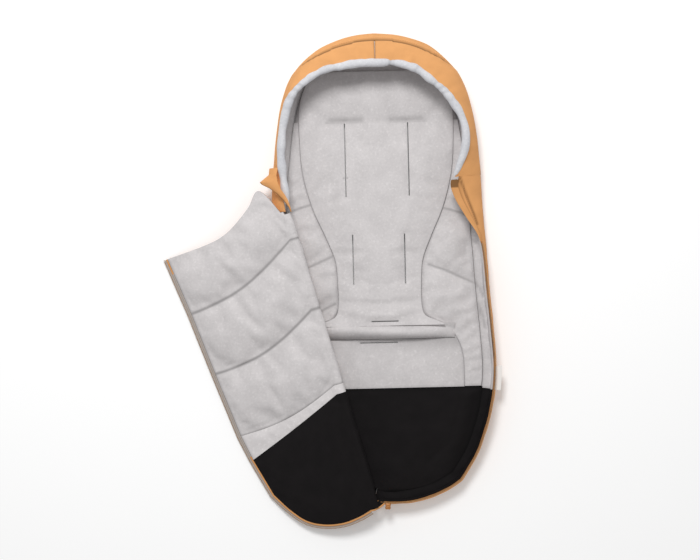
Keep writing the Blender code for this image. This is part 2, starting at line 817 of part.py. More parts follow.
def make_flank(name, side, looks, parts):
    """Quilted pad between the seat panel and the side wall."""
    lower = []
    upper = []
    leg_top = SEAT_FOOT_Y - ROLL_DEPTH
    places = flank_rows(side)
    for y in places:
        inner = seat_half_width(max(y, SEAT_FOOT_Y)) + LAYER_GAP * 4
        if side > 0 and y <= leg_top + BASE_INSET / 2:
            inner = max(inner, LEG_WIDTH / 2 + LAYER_GAP * 4)
        outer = max(base_half_width(y, side) - FLANK_WALL_GAP, inner + BASE_INSET / 4)
        share = (y - places[0]) / (places[-1] - places[0])
        start = max(s for s in FLANK_SEAM_SHARES[:-1] if s <= share)
        end = FLANK_SEAM_SHARES[FLANK_SEAM_SHARES.index(start) + 1]
        channel = abs(math.sin(math.pi * (share - start) / (end - start))) ** 0.7
        low_row = []
        high_row = []
        for across in steps(0.0, 1.0, FLANK_COLUMNS):
            arch = math.sin(math.pi * across) ** 0.8 if 0 < across < 1 else 0.0
            x = side * (inner + (outer - inner) * across)
            low_row.append(Vector((x, y, FLOOR_PAD)))
            high_row.append(Vector((x, y, FLOOR_PAD + FLANK_EDGE + FLANK_CROWN * channel * arch)))
        lower.append(low_row)
        upper.append(high_row)
    return pad(name, lower, upper, looks["grey_fleece"], parts)


def make_wadding(name, places, rises, looks, parts):
    """Wadding of one stretch of the wall, under its shell."""
    start = SHELL_THICKNESS + LAYER_GAP
    whole = drawn_in(places, LINING_SEAM_GAP)
    pad(name, wall_rows(whole, rises, lambda place, rise: start + wall_wadding(place, rise)),
        wall_rows(whole, rises, lambda place, rise: start), looks["wadding"], parts)


def make_wall_lining(name, places, rises, material, parts):
    """Lining of one stretch of the wall, inside its wadding."""
    inner = SHELL_THICKNESS + LAYER_GAP + LINING_GAP + LINING_THICKNESS / 2
    rows = wall_rows(drawn_in(places, LINING_SEAM_GAP), rises,
                     lambda place, rise: inner + wall_wadding(place, rise))
    fabric(name, rows, LINING_THICKNESS, material, parts)


def make_wall(names, places, rise_steps, looks, parts):
    """Outer fabric of one side wall, and the wadding and lining of its leg and foot
    stretches. The foot's lining is black."""
    shell_name, leg_wadding, foot_wadding, leg_lining, foot_lining = names
    rises = steps(0.0, 1.0, rise_steps)
    middle = SHELL_THICKNESS / 2
    fabric(shell_name, wall_rows(drawn_in(places), rises, lambda place, rise: middle),
           SHELL_THICKNESS, looks["outer_fabric"], parts)
    leg = [place for place in places if abs(place) <= FOOT_SEAM_SHARE]
    foot = [place for place in places if abs(place) >= FOOT_SEAM_SHARE]
    make_wadding(leg_wadding, leg, rises, looks, parts)
    make_wadding(foot_wadding, foot, rises, looks, parts)
    make_wall_lining(leg_lining, leg, rises, looks["grey_fleece"], parts)
    make_wall_lining(foot_lining, foot, rises, looks["black_fabric"], parts)


def make_right_wall(looks, parts):
    """Right wall, from the hood's corner round the toe."""
    names = ("right_wall_shell", "right_wall_wadding", "right_foot_wadding",
             "right_wall_lining", "right_foot_lining")
    make_wall(names, right_places(), WALL_STEPS, looks, parts)


def make_left_panel(looks, parts):
    """Left side, which rises to the fold line under the open cover."""
    names = ("left_panel_shell", "left_panel_wadding", "left_foot_wadding",
             "left_panel_lining", "left_foot_lining")
    make_wall(names, left_places(), LEFT_STEPS, looks, parts)
    ends = (ROLL_TOE_SHARE, ROLL_HEAD_SHARE)
    points = [FOLD_TOE.lerp(FOLD_HEAD, share) for share in ends]
    tube("fold_roll", points, FOLD_ROLL_RADIUS, 2, looks["grey_fleece"], parts)


def make_hood(looks, parts):
    """Hood: back layer, two halves of band and wadding, lining and the rolled rim."""
    band_gap = SEAM_GAP / HOOD_HEIGHT
    middle = SHELL_THICKNESS / 2
    places = hood_places()
    low_rises = steps(0.0, BAND_SEAM_SHARE - band_gap, HOOD_WALL_STEPS // 2)
    high_rises = steps(BAND_SEAM_SHARE + band_gap, 1.0, HOOD_WALL_STEPS // 2)
    fabric("hood_back", wall_rows(drawn_in(places), low_rises, lambda place, rise: middle),
           SHELL_THICKNESS, looks["outer_fabric"], parts)
    left = [place for place in places if place <= 0]
    right = [place for place in places if place >= 0]
    rises = steps(0.0, 1.0, HOOD_WALL_STEPS)
    for side, stretch in (("left", left), ("right", right)):
        fabric("hood_band_" + side,
               wall_rows(drawn_in(stretch), high_rises, lambda place, rise: middle),
               SHELL_THICKNESS, looks["outer_fabric"], parts)
        make_wadding("hood_wadding_" + side, stretch, rises, looks, parts)
    make_wall_lining("hood_lining", places, rises, looks["grey_fleece"], parts)
    rim_places = [-RIM_LEFT_SHARE]
    rim_places += [place for place in places if -RIM_LEFT_SHARE < place < RIM_RIGHT_SHARE]
    rim_places.append(RIM_RIGHT_SHARE)
    tube("hood_rim", [rim_point(place) for place in rim_places], RIM_RADIUS, 2,
         looks["grey_fleece"], parts)


def rim_point(place):
    """Centre of the rolled rim, beyond the hood's top edge."""
    layers = (SHELL_THICKNESS + LAYER_GAP + wall_wadding(place, 1.0) + LINING_GAP
              + LINING_THICKNESS)
    edge = wall_point(place, 1.0) - wall_normal(place, 1.0) * layers / 2
    return edge + wall_slope(place, 1.0) * (RIM_RADIUS + RIM_GAP)


def make_hood_flap(looks, parts):
    """Corner flap of outer fabric at the hood's left end."""
    inner = wall_point(-RIM_LEFT_SHARE, 1.0)
    outer = wall_point(-HOOD_LEFT_SHARE, 1.0)
    out = outline_normal(-HOOD_LEFT_SHARE)
    lift = UP * LAYER_GAP * 2
    top = UP * FLAP_THICKNESS
    tip = (inner + outer) / 2 + out * BASE_INSET * FLAP_REACH_SHARE - UP * FOLD_ROLL_RADIUS
    lower = []
    upper = []
    for share in steps(0.0, 1.0, 4):
        edge = wall_point(-RIM_LEFT_SHARE + (RIM_LEFT_SHARE - HOOD_LEFT_SHARE) * share, 1.0)
        far = edge.lerp(tip, FLAP_REACH_SHARE)
        low_row = [edge.lerp(far, k / 3) + lift for k in range(4)]
        lower.append(low_row)
        upper.append([point + top for point in low_row])
    return pad("hood_flap_left", lower, upper, looks["outer_fabric"], parts)


def make_placket(looks, parts):
    """Folded strip of outer fabric above the zip, beyond the right wall's top edge."""
    lower = []
    upper = []
    for share in steps(0.0, 1.0, 8):
        place = PLACKET_HEAD_SHARE + (PLACKET_TOE_SHARE - PLACKET_HEAD_SHARE) * share
        slope = wall_slope(place, 1.0)
        normal = wall_normal(place, 1.0)
        edge = wall_point(place, 1.0) + slope * SEAM_GAP * 2
        width = PLACKET_WIDTH * (1 - PLACKET_TAPER_SHARE * share * share)
        lower.append([edge + slope * width * k / 3 for k in range(4)])
        upper.append([point - normal * FLAP_THICKNESS for point in lower[-1]])
    return pad("placket", lower, upper, looks["outer_fabric"], parts)


def zip_frame(place, out, up):
    """A point beside the wall's top edge, given outwards from the shell and upwards."""
    edge = wall_point(place, 1.0)
    return edge + wall_normal(place, 1.0) * out + wall_slope(place, 1.0) * up


def make_body_zip(looks, parts):
    """Tape and teeth along the right wall's top edge, with their stops."""
    places = steps(ZIP_HEAD_SHARE, ZIP_TOE_SHARE, ZIP_STEPS)
    sewn = 1 - 1 / WALL_STEPS
    rows = []
    for place in places:
        low = wall_point(place, sewn) + wall_normal(place, sewn) * TAPE_OUT
        rows.append([low, zip_frame(place, TAPE_OUT, 0.0),
                     zip_frame(place, TAPE_OUT, TAPE_WIDTH / 2)])
    fabric("zip_tape_body", rows, TAPE_THICKNESS, looks["zip_tape"], parts)
    low = TAPE_WIDTH / 2 + LAYER_GAP
    teeth_strip("zip_teeth_body", places, low, looks, parts)
    head = places[0] - STOP_LENGTH / OUTLINE_LENGTH
    stop = steps(head, places[0] - LAYER_GAP / OUTLINE_LENGTH, 1)
    teeth_strip("zip_top_stop", stop, low, looks, parts, STOP_SIZE_SHARE)
    toe = places[-1] + STOP_LENGTH / OUTLINE_LENGTH
    box = steps(places[-1] + LAYER_GAP / OUTLINE_LENGTH, toe, 1)
    teeth_strip("zip_box", box, low, looks, parts, ZIP_BOX_SIZE_SHARE)


def teeth_strip(name, places, low, looks, parts, size=1.0):
    """A square strip beyond the tape's free edge."""
    half = TEETH_WIDTH / 2 * size
    high = low + TEETH_HEIGHT * size
    outs = (TAPE_OUT - half, TAPE_OUT + half)
    lower = [[zip_frame(place, out, low) for out in outs] for place in places]
    upper = [[zip_frame(place, out, high) for out in outs] for place in places]
    return pad(name, lower, upper, looks["zip_metal"], parts)


def cover_frame():
    """Empty on the fold line: X along it to the head, Y away from the body, Z up from the
    cover, which droops to the floor."""
    droop = math.radians(FOLD_DROOP_DEG)
    level_up = FOLD_ALONG.cross(FOLD_OUT).normalized()
    if level_up.z < 0:
        level_up = -level_up
    across = FOLD_OUT * math.cos(droop) - level_up * math.sin(droop)
    normal = FOLD_ALONG.cross(across).normalized()
    matrix = Matrix((FOLD_ALONG, across, normal)).transposed().to_4x4()
    matrix.translation = FOLD_TOE
    return matrix


def cover_row(row):
    """Fold-edge place, zip-edge place and reach at a row number, which may be a fraction."""
    index = min(int(row), len(COVER_ROW_SHARES) - 2)
    share = row - index
    first = COVER_ROW_SHARES[index]
    second = COVER_ROW_SHARES[index + 1]
    near, far, reach = (a + (b - a) * share for a, b in zip(first, second))
    return near * COVER_LENGTH, far * COVER_LENGTH, reach * COVER_WIDTH


def cover_point(row, across, height=0.0, shift=0.0):
    """A point of the cover in the fold line's frame."""
    near, far, reach = cover_row(row)
    start = FOLD_ROLL_RADIUS + LAYER_GAP
    last = len(COVER_ROW_SHARES) - 1
    toe = max(0.0, 1 - row)
    neck = max(0.0, row - (last - 1))
    sag = 1 - toe - neck
    place = near + (far - near) * across
    place -= COVER_SEAM_SAG * math.sin(math.pi * across) * sag
    place -= COVER_TOE_BOW * follow(COVER_TOE_SHARES, across) * toe
    place += COVER_CORNER_RISE * follow(COVER_NECK_SHARES, across) * neck
    return Vector((place + shift, start + (reach - start) * across, height))


def cover_wadding_top(row, across):
    """Height of the wadding: puffed channels between sewn seams, drawn in at the edges."""
    index = min(int(row), len(COVER_ROW_SHARES) - 2)
    share = row - index
    along = math.sin(math.pi * share) ** 0.7 if 0 < share < 1 else 0.0
    edge = math.sin(math.pi * across) ** 0.4 if 0 < across < 1 else 0.0
    if index == 0:
        return COVER_EDGE_WADDING + COVER_FOOT_CROWN * along * edge
    if index == 1:
        return COVER_EDGE_WADDING + COVER_FOOT_CROWN * along * edge / 2
    return COVER_EDGE_WADDING + COVER_CROWN * along * edge


def cover_rows(rows, height, shifts=(0.0, 0.0)):
    """Grid of cover points; the first and last row can be shifted along the fold."""
    result = []
    for i, row in enumerate(rows):
        shift = shifts[0] if i == 0 else shifts[1] if i == len(rows) - 1 else 0.0
        result.append([cover_point(row, across, height(row, across), shift)
                       for across in steps(0.0, 1.0, COVER_COLUMNS)])
    return result


def make_cover(looks, parts, frame):
    """Front cover: outer fabric, quilted wadding, fleece lining, hem and black toe lining."""
    shell_low = -SHELL_THICKNESS - LAYER_GAP
    toe_rows = steps(0.0, 1.0, FOOT_ROWS)
    hem_rows = steps(1.0, 2.0, 2)
    channel_rows = steps(2.0, 5.0, CHANNEL_ROWS * 3)
    all_rows = toe_rows + hem_rows[1:] + channel_rows[1:]
    fabric("cover_shell", cover_rows(toe_rows + [2.0, 3.0, 4.0, 4.5, 5.0],
                                     lambda row, across: shell_low + SHELL_THICKNESS / 2),
           SHELL_THICKNESS, looks["outer_fabric"], parts, frame)
    pad("cover_wadding", cover_rows(all_rows, lambda row, across: 0.0),
        cover_rows(all_rows, cover_wadding_top), looks["wadding"], parts, frame)
    half = COVER_SEAM_GAP / 2

    def lining(row, across):
        return cover_wadding_top(row, across) + LINING_GAP + LINING_THICKNESS / 2

    fabric("cover_lining", cover_rows(channel_rows, lining, (half, 0.0)), LINING_THICKNESS,
           looks["grey_fleece"], parts, frame)
    fabric("cover_hem", cover_rows(hem_rows, lining, (half, -half)), LINING_THICKNESS,
           looks["pale_fleece"], parts, frame)
    fabric("cover_foot_lining", cover_rows(toe_rows, lining, (0.0, -half)), LINING_THICKNESS,
           looks["black_fabric"], parts, frame)


def cover_edge():
    """Edge of the cover from the fold, round the toe and up the zip edge."""
    points = [cover_point(0.0, across) for across in steps(0.03, 1.0, 18)]
    rows = [row for row in steps(0.0, 5.0, 26)][1:]
    points += [cover_point(row, 1.0) for row in rows]
    return points


def edge_outward(points, index):
    """Direction away from the cover at one point of its edge."""
    ahead = points[min(index + 1, len(points) - 1)]
    behind = points[max(index - 1, 0)]
    along = (ahead - behind).normalized()
    return Vector((-along.y, along.x, 0.0))


def make_cover_trim(looks, parts, frame):
    """Binding, zip tape and teeth along the cover's edge."""
    points = cover_edge()
    outs = [edge_outward(points, i) for i in range(len(points))]
    ring = BINDING_RADIUS + LAYER_GAP
    centre = [point + out * ring for point, out in zip(points, outs)]
    tube("cover_binding", centre, BINDING_RADIUS, 1, looks["outer_fabric"], parts, frame)
    first = 2 * ring
    middle = first + TAPE_WIDTH / 4
    rows = [[point + out * reach for reach in (first, middle)] for point, out in zip(points, outs)]
    fabric("zip_tape_cover", rows, TAPE_THICKNESS, looks["zip_tape"], parts, frame)
    near = middle + LAYER_GAP
    far = near + TEETH_HEIGHT
    low = UP * (-TEETH_WIDTH / 2)
    high = UP * (TEETH_WIDTH / 2)
    lower = [[point + out * near + low, point + out * far + low] for point, out in zip(points, outs)]
    upper = [[point + out * near + high, point + out * far + high] for point, out in zip(points, outs)]
    pad("zip_teeth_cover", lower, upper, looks["zip_metal"], parts, frame)


def slider_matrix():
    """Place of the slider: on the teeth at the toe, X along the zip, Y outwards."""
    angle = math.radians(SLIDER_START_DEG)
    place = slider_place()
    centre = zip_frame(place, TAPE_OUT, TAPE_WIDTH / 2 + LAYER_GAP + TEETH_HEIGHT / 2)
    out = Vector((math.cos(angle), math.sin(angle), 0.0))
    along = UP.cross(out)
    matrix = Matrix((along, -out, UP)).transposed().to_4x4()
    matrix.translation = centre
    return matrix


def slider_place():
    """Share of the outline that lies at the slider's first angle."""
    end = math.acos(-TOE_ARC_X / TOE_ARC_RADIUS)
    back = end + math.radians(SLIDER_START_DEG)
    return 1.0 - back * TOE_ARC_RADIUS / OUTLINE_LENGTH


def make_slider(looks, parts, cutters):
    """Zip slider that straddles the teeth, and its pull."""
    matrix = slider_matrix()
    axis = bpy.data.objects.new("slider_axis", None)
    parts.objects.link(axis)
    axis.location = (TOE_ARC_X, TOE_ARC_Y, matrix.translation.z)
    bpy.context.view_layer.update()
    local = axis.matrix_world.inverted() @ matrix
    half = Vector((SLIDER_LENGTH / 2, SLIDER_WIDTH / 2, SLIDER_HEIGHT / 2))
    body = add_object("zip_slider", box_mesh("zip_slider", -half, half), looks["zip_metal"],
                      parts, axis)
    body.matrix_local = local
    bevel = body.modifiers.new("rounded edges", "BEVEL")
    bevel.width = SLIDER_WALL / 3
    bevel.segments = 1
    channel = Vector((SLIDER_LENGTH, TEETH_WIDTH / 2 + SLIDER_CLEARANCE,
                      SLIDER_HEIGHT / 2 - SLIDER_WALL))
    groove = box_mesh("slider_channel", Vector((-channel.x, -channel.y, -SLIDER_HEIGHT)), channel)
    cutter = add_cutter("slider_channel", groove, cutters, axis)
    cutter.matrix_local = local
    boolean(body, cutter)
    lug = Vector((0.0, -SLIDER_WIDTH / 2, 0.0))
    ear = SLIDER_WALL / 2
    reach = SLIDER_REACH
    for side, word in ((-1, "left"), (1, "right")):
        middle = side * (PULL_WIDTH / 4 + PULL_CLEARANCE + ear)
        low = lug + Vector((middle - ear, -reach, -ear * 2))
        high = lug + Vector((middle + ear, SLIDER_WALL / 2, ear * 2))
        mesh = box_mesh("slider_ear_" + word, low, high)
        ear_cutter = add_cutter("slider_ear_" + word, mesh, cutters, axis)
        ear_cutter.matrix_local = local
        boolean(body, ear_cutter, "UNION")
    pin_centre = lug + Vector((0.0, -reach + PULL_PIN_RADIUS * 2, 0.0))
    pin_length = PULL_WIDTH / 2 + 2 * PULL_CLEARANCE + 3 * ear
    pin = cylinder_mesh("slider_pin", PULL_PIN_RADIUS, pin_length, 12, pin_centre,
                        Vector((1.0, 0.0, 0.0)))
    pin_cutter = add_cutter("slider_pin", pin, cutters, axis)
    pin_cutter.matrix_local = local
    boolean(body, pin_cutter, "UNION")
    make_pull(looks, parts, cutters, axis, local @ Matrix.Translation(pin_centre))


def make_pull(looks, parts, cutters, axis, local):
    """Pull that hangs from the slider's pin."""
    hinge = bpy.data.objects.new("pull_axis", None)
    parts.objects.link(hinge)
    hinge.parent = axis
    hinge.matrix_local = local
    hole = PULL_PIN_RADIUS + PULL_CLEARANCE
    ring = hole + PULL_THICKNESS / 2
    neck = PULL_WIDTH / 4
    pull = add_object(
        "zip_pull",
        box_mesh("zip_pull", Vector((-PULL_WIDTH / 2, -PULL_THICKNESS / 2, -PULL_LENGTH)),
                 Vector((PULL_WIDTH / 2, PULL_THICKNESS / 2, -ring * 2))),
        looks["zip_metal"], parts, hinge)
    eye = cylinder_mesh("pull_eye", ring, 2 * neck, 16, Vector((0.0, 0.0, 0.0)),
                        Vector((1.0, 0.0, 0.0)))
    boolean(pull, add_cutter("pull_eye", eye, cutters, hinge), "UNION")
    shank = box_mesh("pull_shank", Vector((-neck, -PULL_THICKNESS / 2, -ring * 3)),
                     Vector((neck, PULL_THICKNESS / 2, 0.0)))
    boolean(pull, add_cutter("pull_shank", shank, cutters, hinge), "UNION")
    bore = cylinder_mesh("pull_bore", hole, 4 * neck, 16, Vector((0.0, 0.0, 0.0)),
                         Vector((1.0, 0.0, 0.0)))
    boolean(pull, add_cutter("pull_bore", bore, cutters, hinge))


def make_side_tag(looks, parts):
    """Blank woven tag sewn into the right wall's zip seam."""
    half = TAG_LENGTH / 2 / OUTLINE_LENGTH
    start = LINING_GAP + TAPE_THICKNESS + LAYER_GAP
    rows = []
    for place in steps(TAG_PLACE_SHARE - half, TAG_PLACE_SHARE + half, 3):
        edge = wall_point(place, TAG_RISE_SHARE)
        normal = wall_normal(place, TAG_RISE_SHARE)
        rows.append([edge + normal * (start + TAG_REACH * share) for share in (0.0, 0.5, 1.0)])
    return fabric("side_tag", rows, TAG_THICKNESS, looks["tag"], parts)


def make_looks():
    """Materials of the fabrics, the wadding and the zip."""
    return {
        "outer_fabric": make_material("outer_fabric", "E3A468", 0.85),
        "grey_fleece": make_material("grey_fleece", "CFCBCB", 0.95),
        "pale_fleece": make_material("pale_fleece", "D8D5D4", 0.95),
        "black_fabric": make_material("black_fabric", "1E1B1C", 0.80),
        "wadding": make_material("wadding", "F0EEEA", 0.95),
        "zip_tape": make_material("zip_tape", "8A5A20", 0.85),
        "zip_metal": make_material("zip_metal", "3A3634", 0.45, 0.8),
        "tag": make_material("tag", "EDEBE8", 0.80),
    }


def main():
    """Build the footmuff."""
    clear_scene()
    parts = make_collection(COLLECTION_NAME)
    cutters = make_collection(CUTTER_COLLECTION_NAME)
    looks = make_looks()
    make_back(looks, parts, cutters)
    make_right_wall(looks, parts)
    make_left_panel(looks, parts)
    make_hood(looks, parts)
    make_hood_flap(looks, parts)
    make_placket(looks, parts)
    make_body_zip(looks, parts)
    frame = bpy.data.objects.new("cover_fold_axis", None)
    parts.objects.link(frame)
    frame.matrix_world = cover_frame()
    make_cover(looks, parts, frame)
    make_cover_trim(looks, parts, frame)
    make_slider(looks, parts, cutters)
    make_side_tag(looks, parts)


main()
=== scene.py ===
"""Looks of a stroller footmuff that lies on its back with the front cover folded open.

Metres, +Z up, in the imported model's own frame: +Y points to the head, +X to the zip's side.
"""

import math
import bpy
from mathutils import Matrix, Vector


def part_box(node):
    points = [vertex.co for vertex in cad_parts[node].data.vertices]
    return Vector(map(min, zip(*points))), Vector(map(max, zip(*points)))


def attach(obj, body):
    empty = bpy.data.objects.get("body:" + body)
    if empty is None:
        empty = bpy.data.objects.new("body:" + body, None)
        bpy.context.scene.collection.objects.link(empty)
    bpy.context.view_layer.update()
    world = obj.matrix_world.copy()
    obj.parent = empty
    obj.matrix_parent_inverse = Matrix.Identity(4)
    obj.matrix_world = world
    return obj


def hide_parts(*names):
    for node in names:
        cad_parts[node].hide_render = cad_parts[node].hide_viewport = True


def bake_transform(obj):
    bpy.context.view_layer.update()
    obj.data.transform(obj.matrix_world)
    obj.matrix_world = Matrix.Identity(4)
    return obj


bl_info = {
    "name": "Stroller footmuff",
    "version": (1, 0, 0),
    "blender": (4, 5, 0),
    "location": "View3D > Sidebar > Footmuff",
    "description": "Builds a padded footmuff around its packed model",
    "category": "Object",
}

from bisect import bisect_left

import bmesh
import bpy
import numpy as np
from mathutils import Matrix, Vector, noise

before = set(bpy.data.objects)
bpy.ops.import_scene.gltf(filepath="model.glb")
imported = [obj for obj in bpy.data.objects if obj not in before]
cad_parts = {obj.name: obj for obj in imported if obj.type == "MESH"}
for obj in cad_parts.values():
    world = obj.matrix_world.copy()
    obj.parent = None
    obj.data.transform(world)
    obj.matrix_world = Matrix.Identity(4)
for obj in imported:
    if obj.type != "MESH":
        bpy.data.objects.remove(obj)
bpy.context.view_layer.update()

# Body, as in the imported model
BODY_LENGTH = 0.945
BODY_WIDTH = 0.464
HALF_LENGTH = BODY_LENGTH / 2
HALF_WIDTH = BODY_WIDTH / 2
TOE_ARC_X = 0.024
TOE_ARC_RADIUS = 0.222
TOE_ARC_Y = TOE_ARC_RADIUS - HALF_LENGTH
TOE_ARC_START_DEG = -53.0
TOE_ARC_LEFT_DEG = -106.0
BASE_INSET = 0.028
HOOD_HEIGHT = 0.092
HOOD_LEAN = 0.054
WALL_BULGE = 0.014
LEFT_DRAW_IN = 0.055
UP = Vector((0.0, 0.0, 1.0))

# Fabric layers of the wall, as depths under its outer surface
SHELL_THICKNESS = 0.0014
LINING_BACK = 0.0026
WALL_DEPTH = 0.0098
LEFT_DEPTH = 0.0060
EDGE_DEPTH = 0.0058
FLOOR_TOP = 0.0095
QUILT_BOTTOM = 0.0017

# Small gaps: shell to ground, panel to panel, and the fold roll to what lies on it
GROUND_CLEAR = 0.0002
PANEL_GAP = 0.0004
FOLD_GAP = 0.0003

# Fold line that the cover turns on
FOLD_TOE = Vector((-0.020, -0.462, 0.046))
FOLD_HEAD = Vector((-0.183, 0.120, 0.060))
FOLD_ROLL_RADIUS = 0.008
FOLD_DROOP_DEG = 11.7
FOLD_SEAT_DEG = 30.0
FOLD_SEAT_TOE_DEG = 75.0
ROLL_TOE_SHARE = 0.07
FOLD_SKIN_RADIUS = 0.0092
FOLD_CORE_RADIUS = 0.0060

# Hood rim
RIM_RADIUS = 0.0087
RIM_GAP = 0.0010

# Front cover, measured along and across the fold line
COVER_WIDTH = 0.262
COVER_LENGTH = 0.600
COVER_CORNER_RISE = 0.062
COVER_TOE_BOW = 0.049
COVER_SEAM_SAG = 0.020
COVER_EDGE_HEIGHT = 0.0040
BINDING_RADIUS = 0.0022

# Outline as shares of the half width and half length, and seams as shares of the half
# outline's length from the middle of the head. The wall's tables pair such a place with a
# share of the hood's height, lean or bulge.
OUTLINE_SHARES = (
    (0.0, 1.0), (0.155, 0.993), (0.316, 0.974), (0.456, 0.945), (0.562, 0.906),
    (0.654, 0.860), (0.722, 0.812), (0.772, 0.760), (0.813, 0.694), (0.848, 0.600),
    (0.875, 0.497), (0.903, 0.371), (0.915, 0.222), (0.937, 0.057), (0.955, -0.090),
    (0.985, -0.273), (1.0, -0.430), (0.965, -0.580), (0.899, -0.700), (0.810, -0.806),
)
LEFT_TOE_SHARES = ((0.660, -0.900), (0.430, -0.955))
HOOD_RIGHT_SHARE = 0.335
HOOD_LEFT_SHARE = 0.391
FOOT_SEAM_SHARE = 0.695
TOE_SEAM_SHARE = 1.017
ZIP_HEAD_SHARE = 0.450
ZIP_TOE_SHARE = 1.006
RIM_RIGHT_SHARE = 0.316
TAG_PLACE_SHARE = 0.675
OUTLINE_REACH_SHARE = 0.006
WALL_REACH_SHARE = 0.004
RIGHT_HEIGHT_SHARES = (
    (0.0, 1.0), (0.15, 1.0), (0.20, 0.95), (0.30, 0.78), (0.345, 0.67), (0.40, 0.585),
    (0.47, 0.54), (0.70, 0.50), (0.78, 0.41), (0.85, 0.326), (1.02, 0.326),
)
LEFT_HEIGHT_SHARES = (
    (0.0, 1.0), (0.15, 1.0), (0.20, 0.93), (0.30, 0.70), (0.36, 0.60), (0.391, 0.60),
)
RIGHT_LEAN_SHARES = (
    (0.0, 1.0), (0.05, 0.90), (0.10, 0.86), (0.14, 0.80), (0.17, 0.68), (0.20, 0.52),
    (0.235, 0.32), (0.265, 0.28), (0.29, 0.36), (0.32, 0.66), (0.345, 0.93),
    (0.37, 0.84), (0.40, 0.54), (0.43, 0.26), (0.46, 0.16), (0.52, 0.13), (1.02, 0.10),
)
LEFT_LEAN_SHARES = (
    (0.0, 1.0), (0.05, 0.90), (0.085, 0.80), (0.118, 0.60), (0.15, 0.40), (0.186, 0.22),
    (0.22, 0.14), (0.26, 0.11), (0.30, 0.14), (0.34, 0.26), (0.391, 0.41),
)
RIGHT_ROUND_SHARES = (
    (0.0, 1.0), (0.15, 0.95), (0.22, 0.70), (0.29, 0.66), (0.345, 0.88), (0.40, 0.72),
    (0.46, 0.55), (1.02, 0.55),
)
LEFT_ROUND_SHARES = (
    (0.0, 1.0), (0.15, 0.90), (0.20, 0.66), (0.30, 0.62), (0.391, 0.70),
)
RIGHT_SHOULDER_SHARES = (
    (0.0, 0.95), (0.15, 0.90), (0.22, 0.30), (0.29, 0.20), (0.345, 0.50), (0.40, 0.20),
    (0.46, -0.20), (1.02, -0.20),
)
LEFT_SHOULDER_SHARES = (
    (0.0, 0.95), (0.15, 0.60), (0.20, 0.15), (0.30, 0.0), (0.391, 0.30),
)
COVER_ROW_SHARES = (
    (-0.020, 0.113, 0.740), (0.380, 0.245, 0.817), (0.410, 0.333, 0.855),
    (0.672, 0.557, 0.905), (0.915, 0.773, 0.947), (1.0, 0.973, 1.0),
)
COVER_TOE_SHARES = (
    (0.0, 0.0), (0.16, 0.42), (0.35, 0.80), (0.56, 1.0), (0.74, 0.94), (0.88, 0.55), (1.0, 0.0),
)
SEAM_SAG_SHARES = ((0.0, 0.1), (1.0, 0.1), (2.0, 0.7), (3.0, 1.0), (5.0, 1.0))
COVER_NECK_SHARES = (
    (0.0, 0.0), (0.125, 1.0), (0.25, 0.62), (0.44, 0.17), (0.60, 0.0), (1.0, 0.0),
)

# Half width of the middle panels by their place along the body: (y, half width)
MIDDLE_WIDTHS = (
    (-0.238, 0.166), (-0.215, 0.166), (-0.1705, 0.1637), (-0.132, 0.1486), (-0.108, 0.1240),
    (-0.094, 0.0930), (-0.075, 0.0845), (-0.020, 0.0840), (0.021, 0.0880), (0.067, 0.1056),
    (0.1235, 0.130), (0.185, 0.147), (0.236, 0.153), (0.328, 0.153), (0.374, 0.139),
    (0.400, 0.116),
)
SEAT_HEAD_Y = 0.400
SEAT_FOOT_Y = -0.112
ROLL_FOOT_Y = -0.139
LEG_FOOT_Y = -0.238
FLANK_HEAD_Y = 0.300

# Sewn lines in plan, traced: (x, y)
SHOULDER_SLIT_X = 0.0634
SHOULDER_SLIT_YS = (0.148, 0.296)
SHOULDER_CROSS_XS = (0.034, 0.100)
WAIST_SLIT_X = 0.052
WAIST_SLIT_YS = (-0.028, 0.072)
CROTCH_SLIT_XS = (-0.018, 0.036)
LEG_SLIT_XS = (-0.042, 0.034)
SLIT_WIDTH = 0.0022
RIGHT_SEAMS = (
    ((0.108, 0.126), (0.140, 0.120), (0.176, 0.108)),
    ((0.100, 0.009), (0.132, -0.003), (0.160, -0.016), (0.192, -0.031)),
)
LEFT_SEAMS = (
    ((-0.186, 0.118), (-0.150, 0.130), (-0.124, 0.137)),
    ((-0.186, -0.008), (-0.150, 0.005), (-0.088, 0.032)),
    ((-0.150, -0.098), (-0.118, -0.080), (-0.090, -0.066)),
)

# Cloth: size of a grid cell, pressure in the padding and length of the simulation
PAD_CELL = 0.0045
CLOTH_PRESSURE = 4.0
CLOTH_FRAMES = 20
SEAM_HOLD = 0.0030
SMOOTH_PASSES = 3
SHARP_DEG = 50.0

# Patterns of the finishes. Real canvas has a yarn each 0.6 mm, fleece a pile of 1 mm and
# zip tape a rib each 0.7 mm. They are too fine for the picture, so all are drawn twice as
# coarse or more.
WEAVE_PITCH = 0.0012
WEAVE_DEPTH = 0.00012
CANVAS_MOTTLE = 0.030
PILE_SIZE = 0.0026
PILE_DEPTH = 0.0007
FLECK_SIZE = 0.0045
BRIGHT_FLECK_SIZE = 0.0055
FLEECE_MOTTLE = 0.035
TWILL_PITCH = 0.00148
# Length of one wave of Blender's wave texture at scale 1, along an axis and slanting
WAVE_STRAIGHT = 0.314
WAVE_SLANTING = 0.444


def steps(first, last, count):
    """Evenly spaced places from first to last."""
    return [first + (last - first) * i / count for i in range(count + 1)]


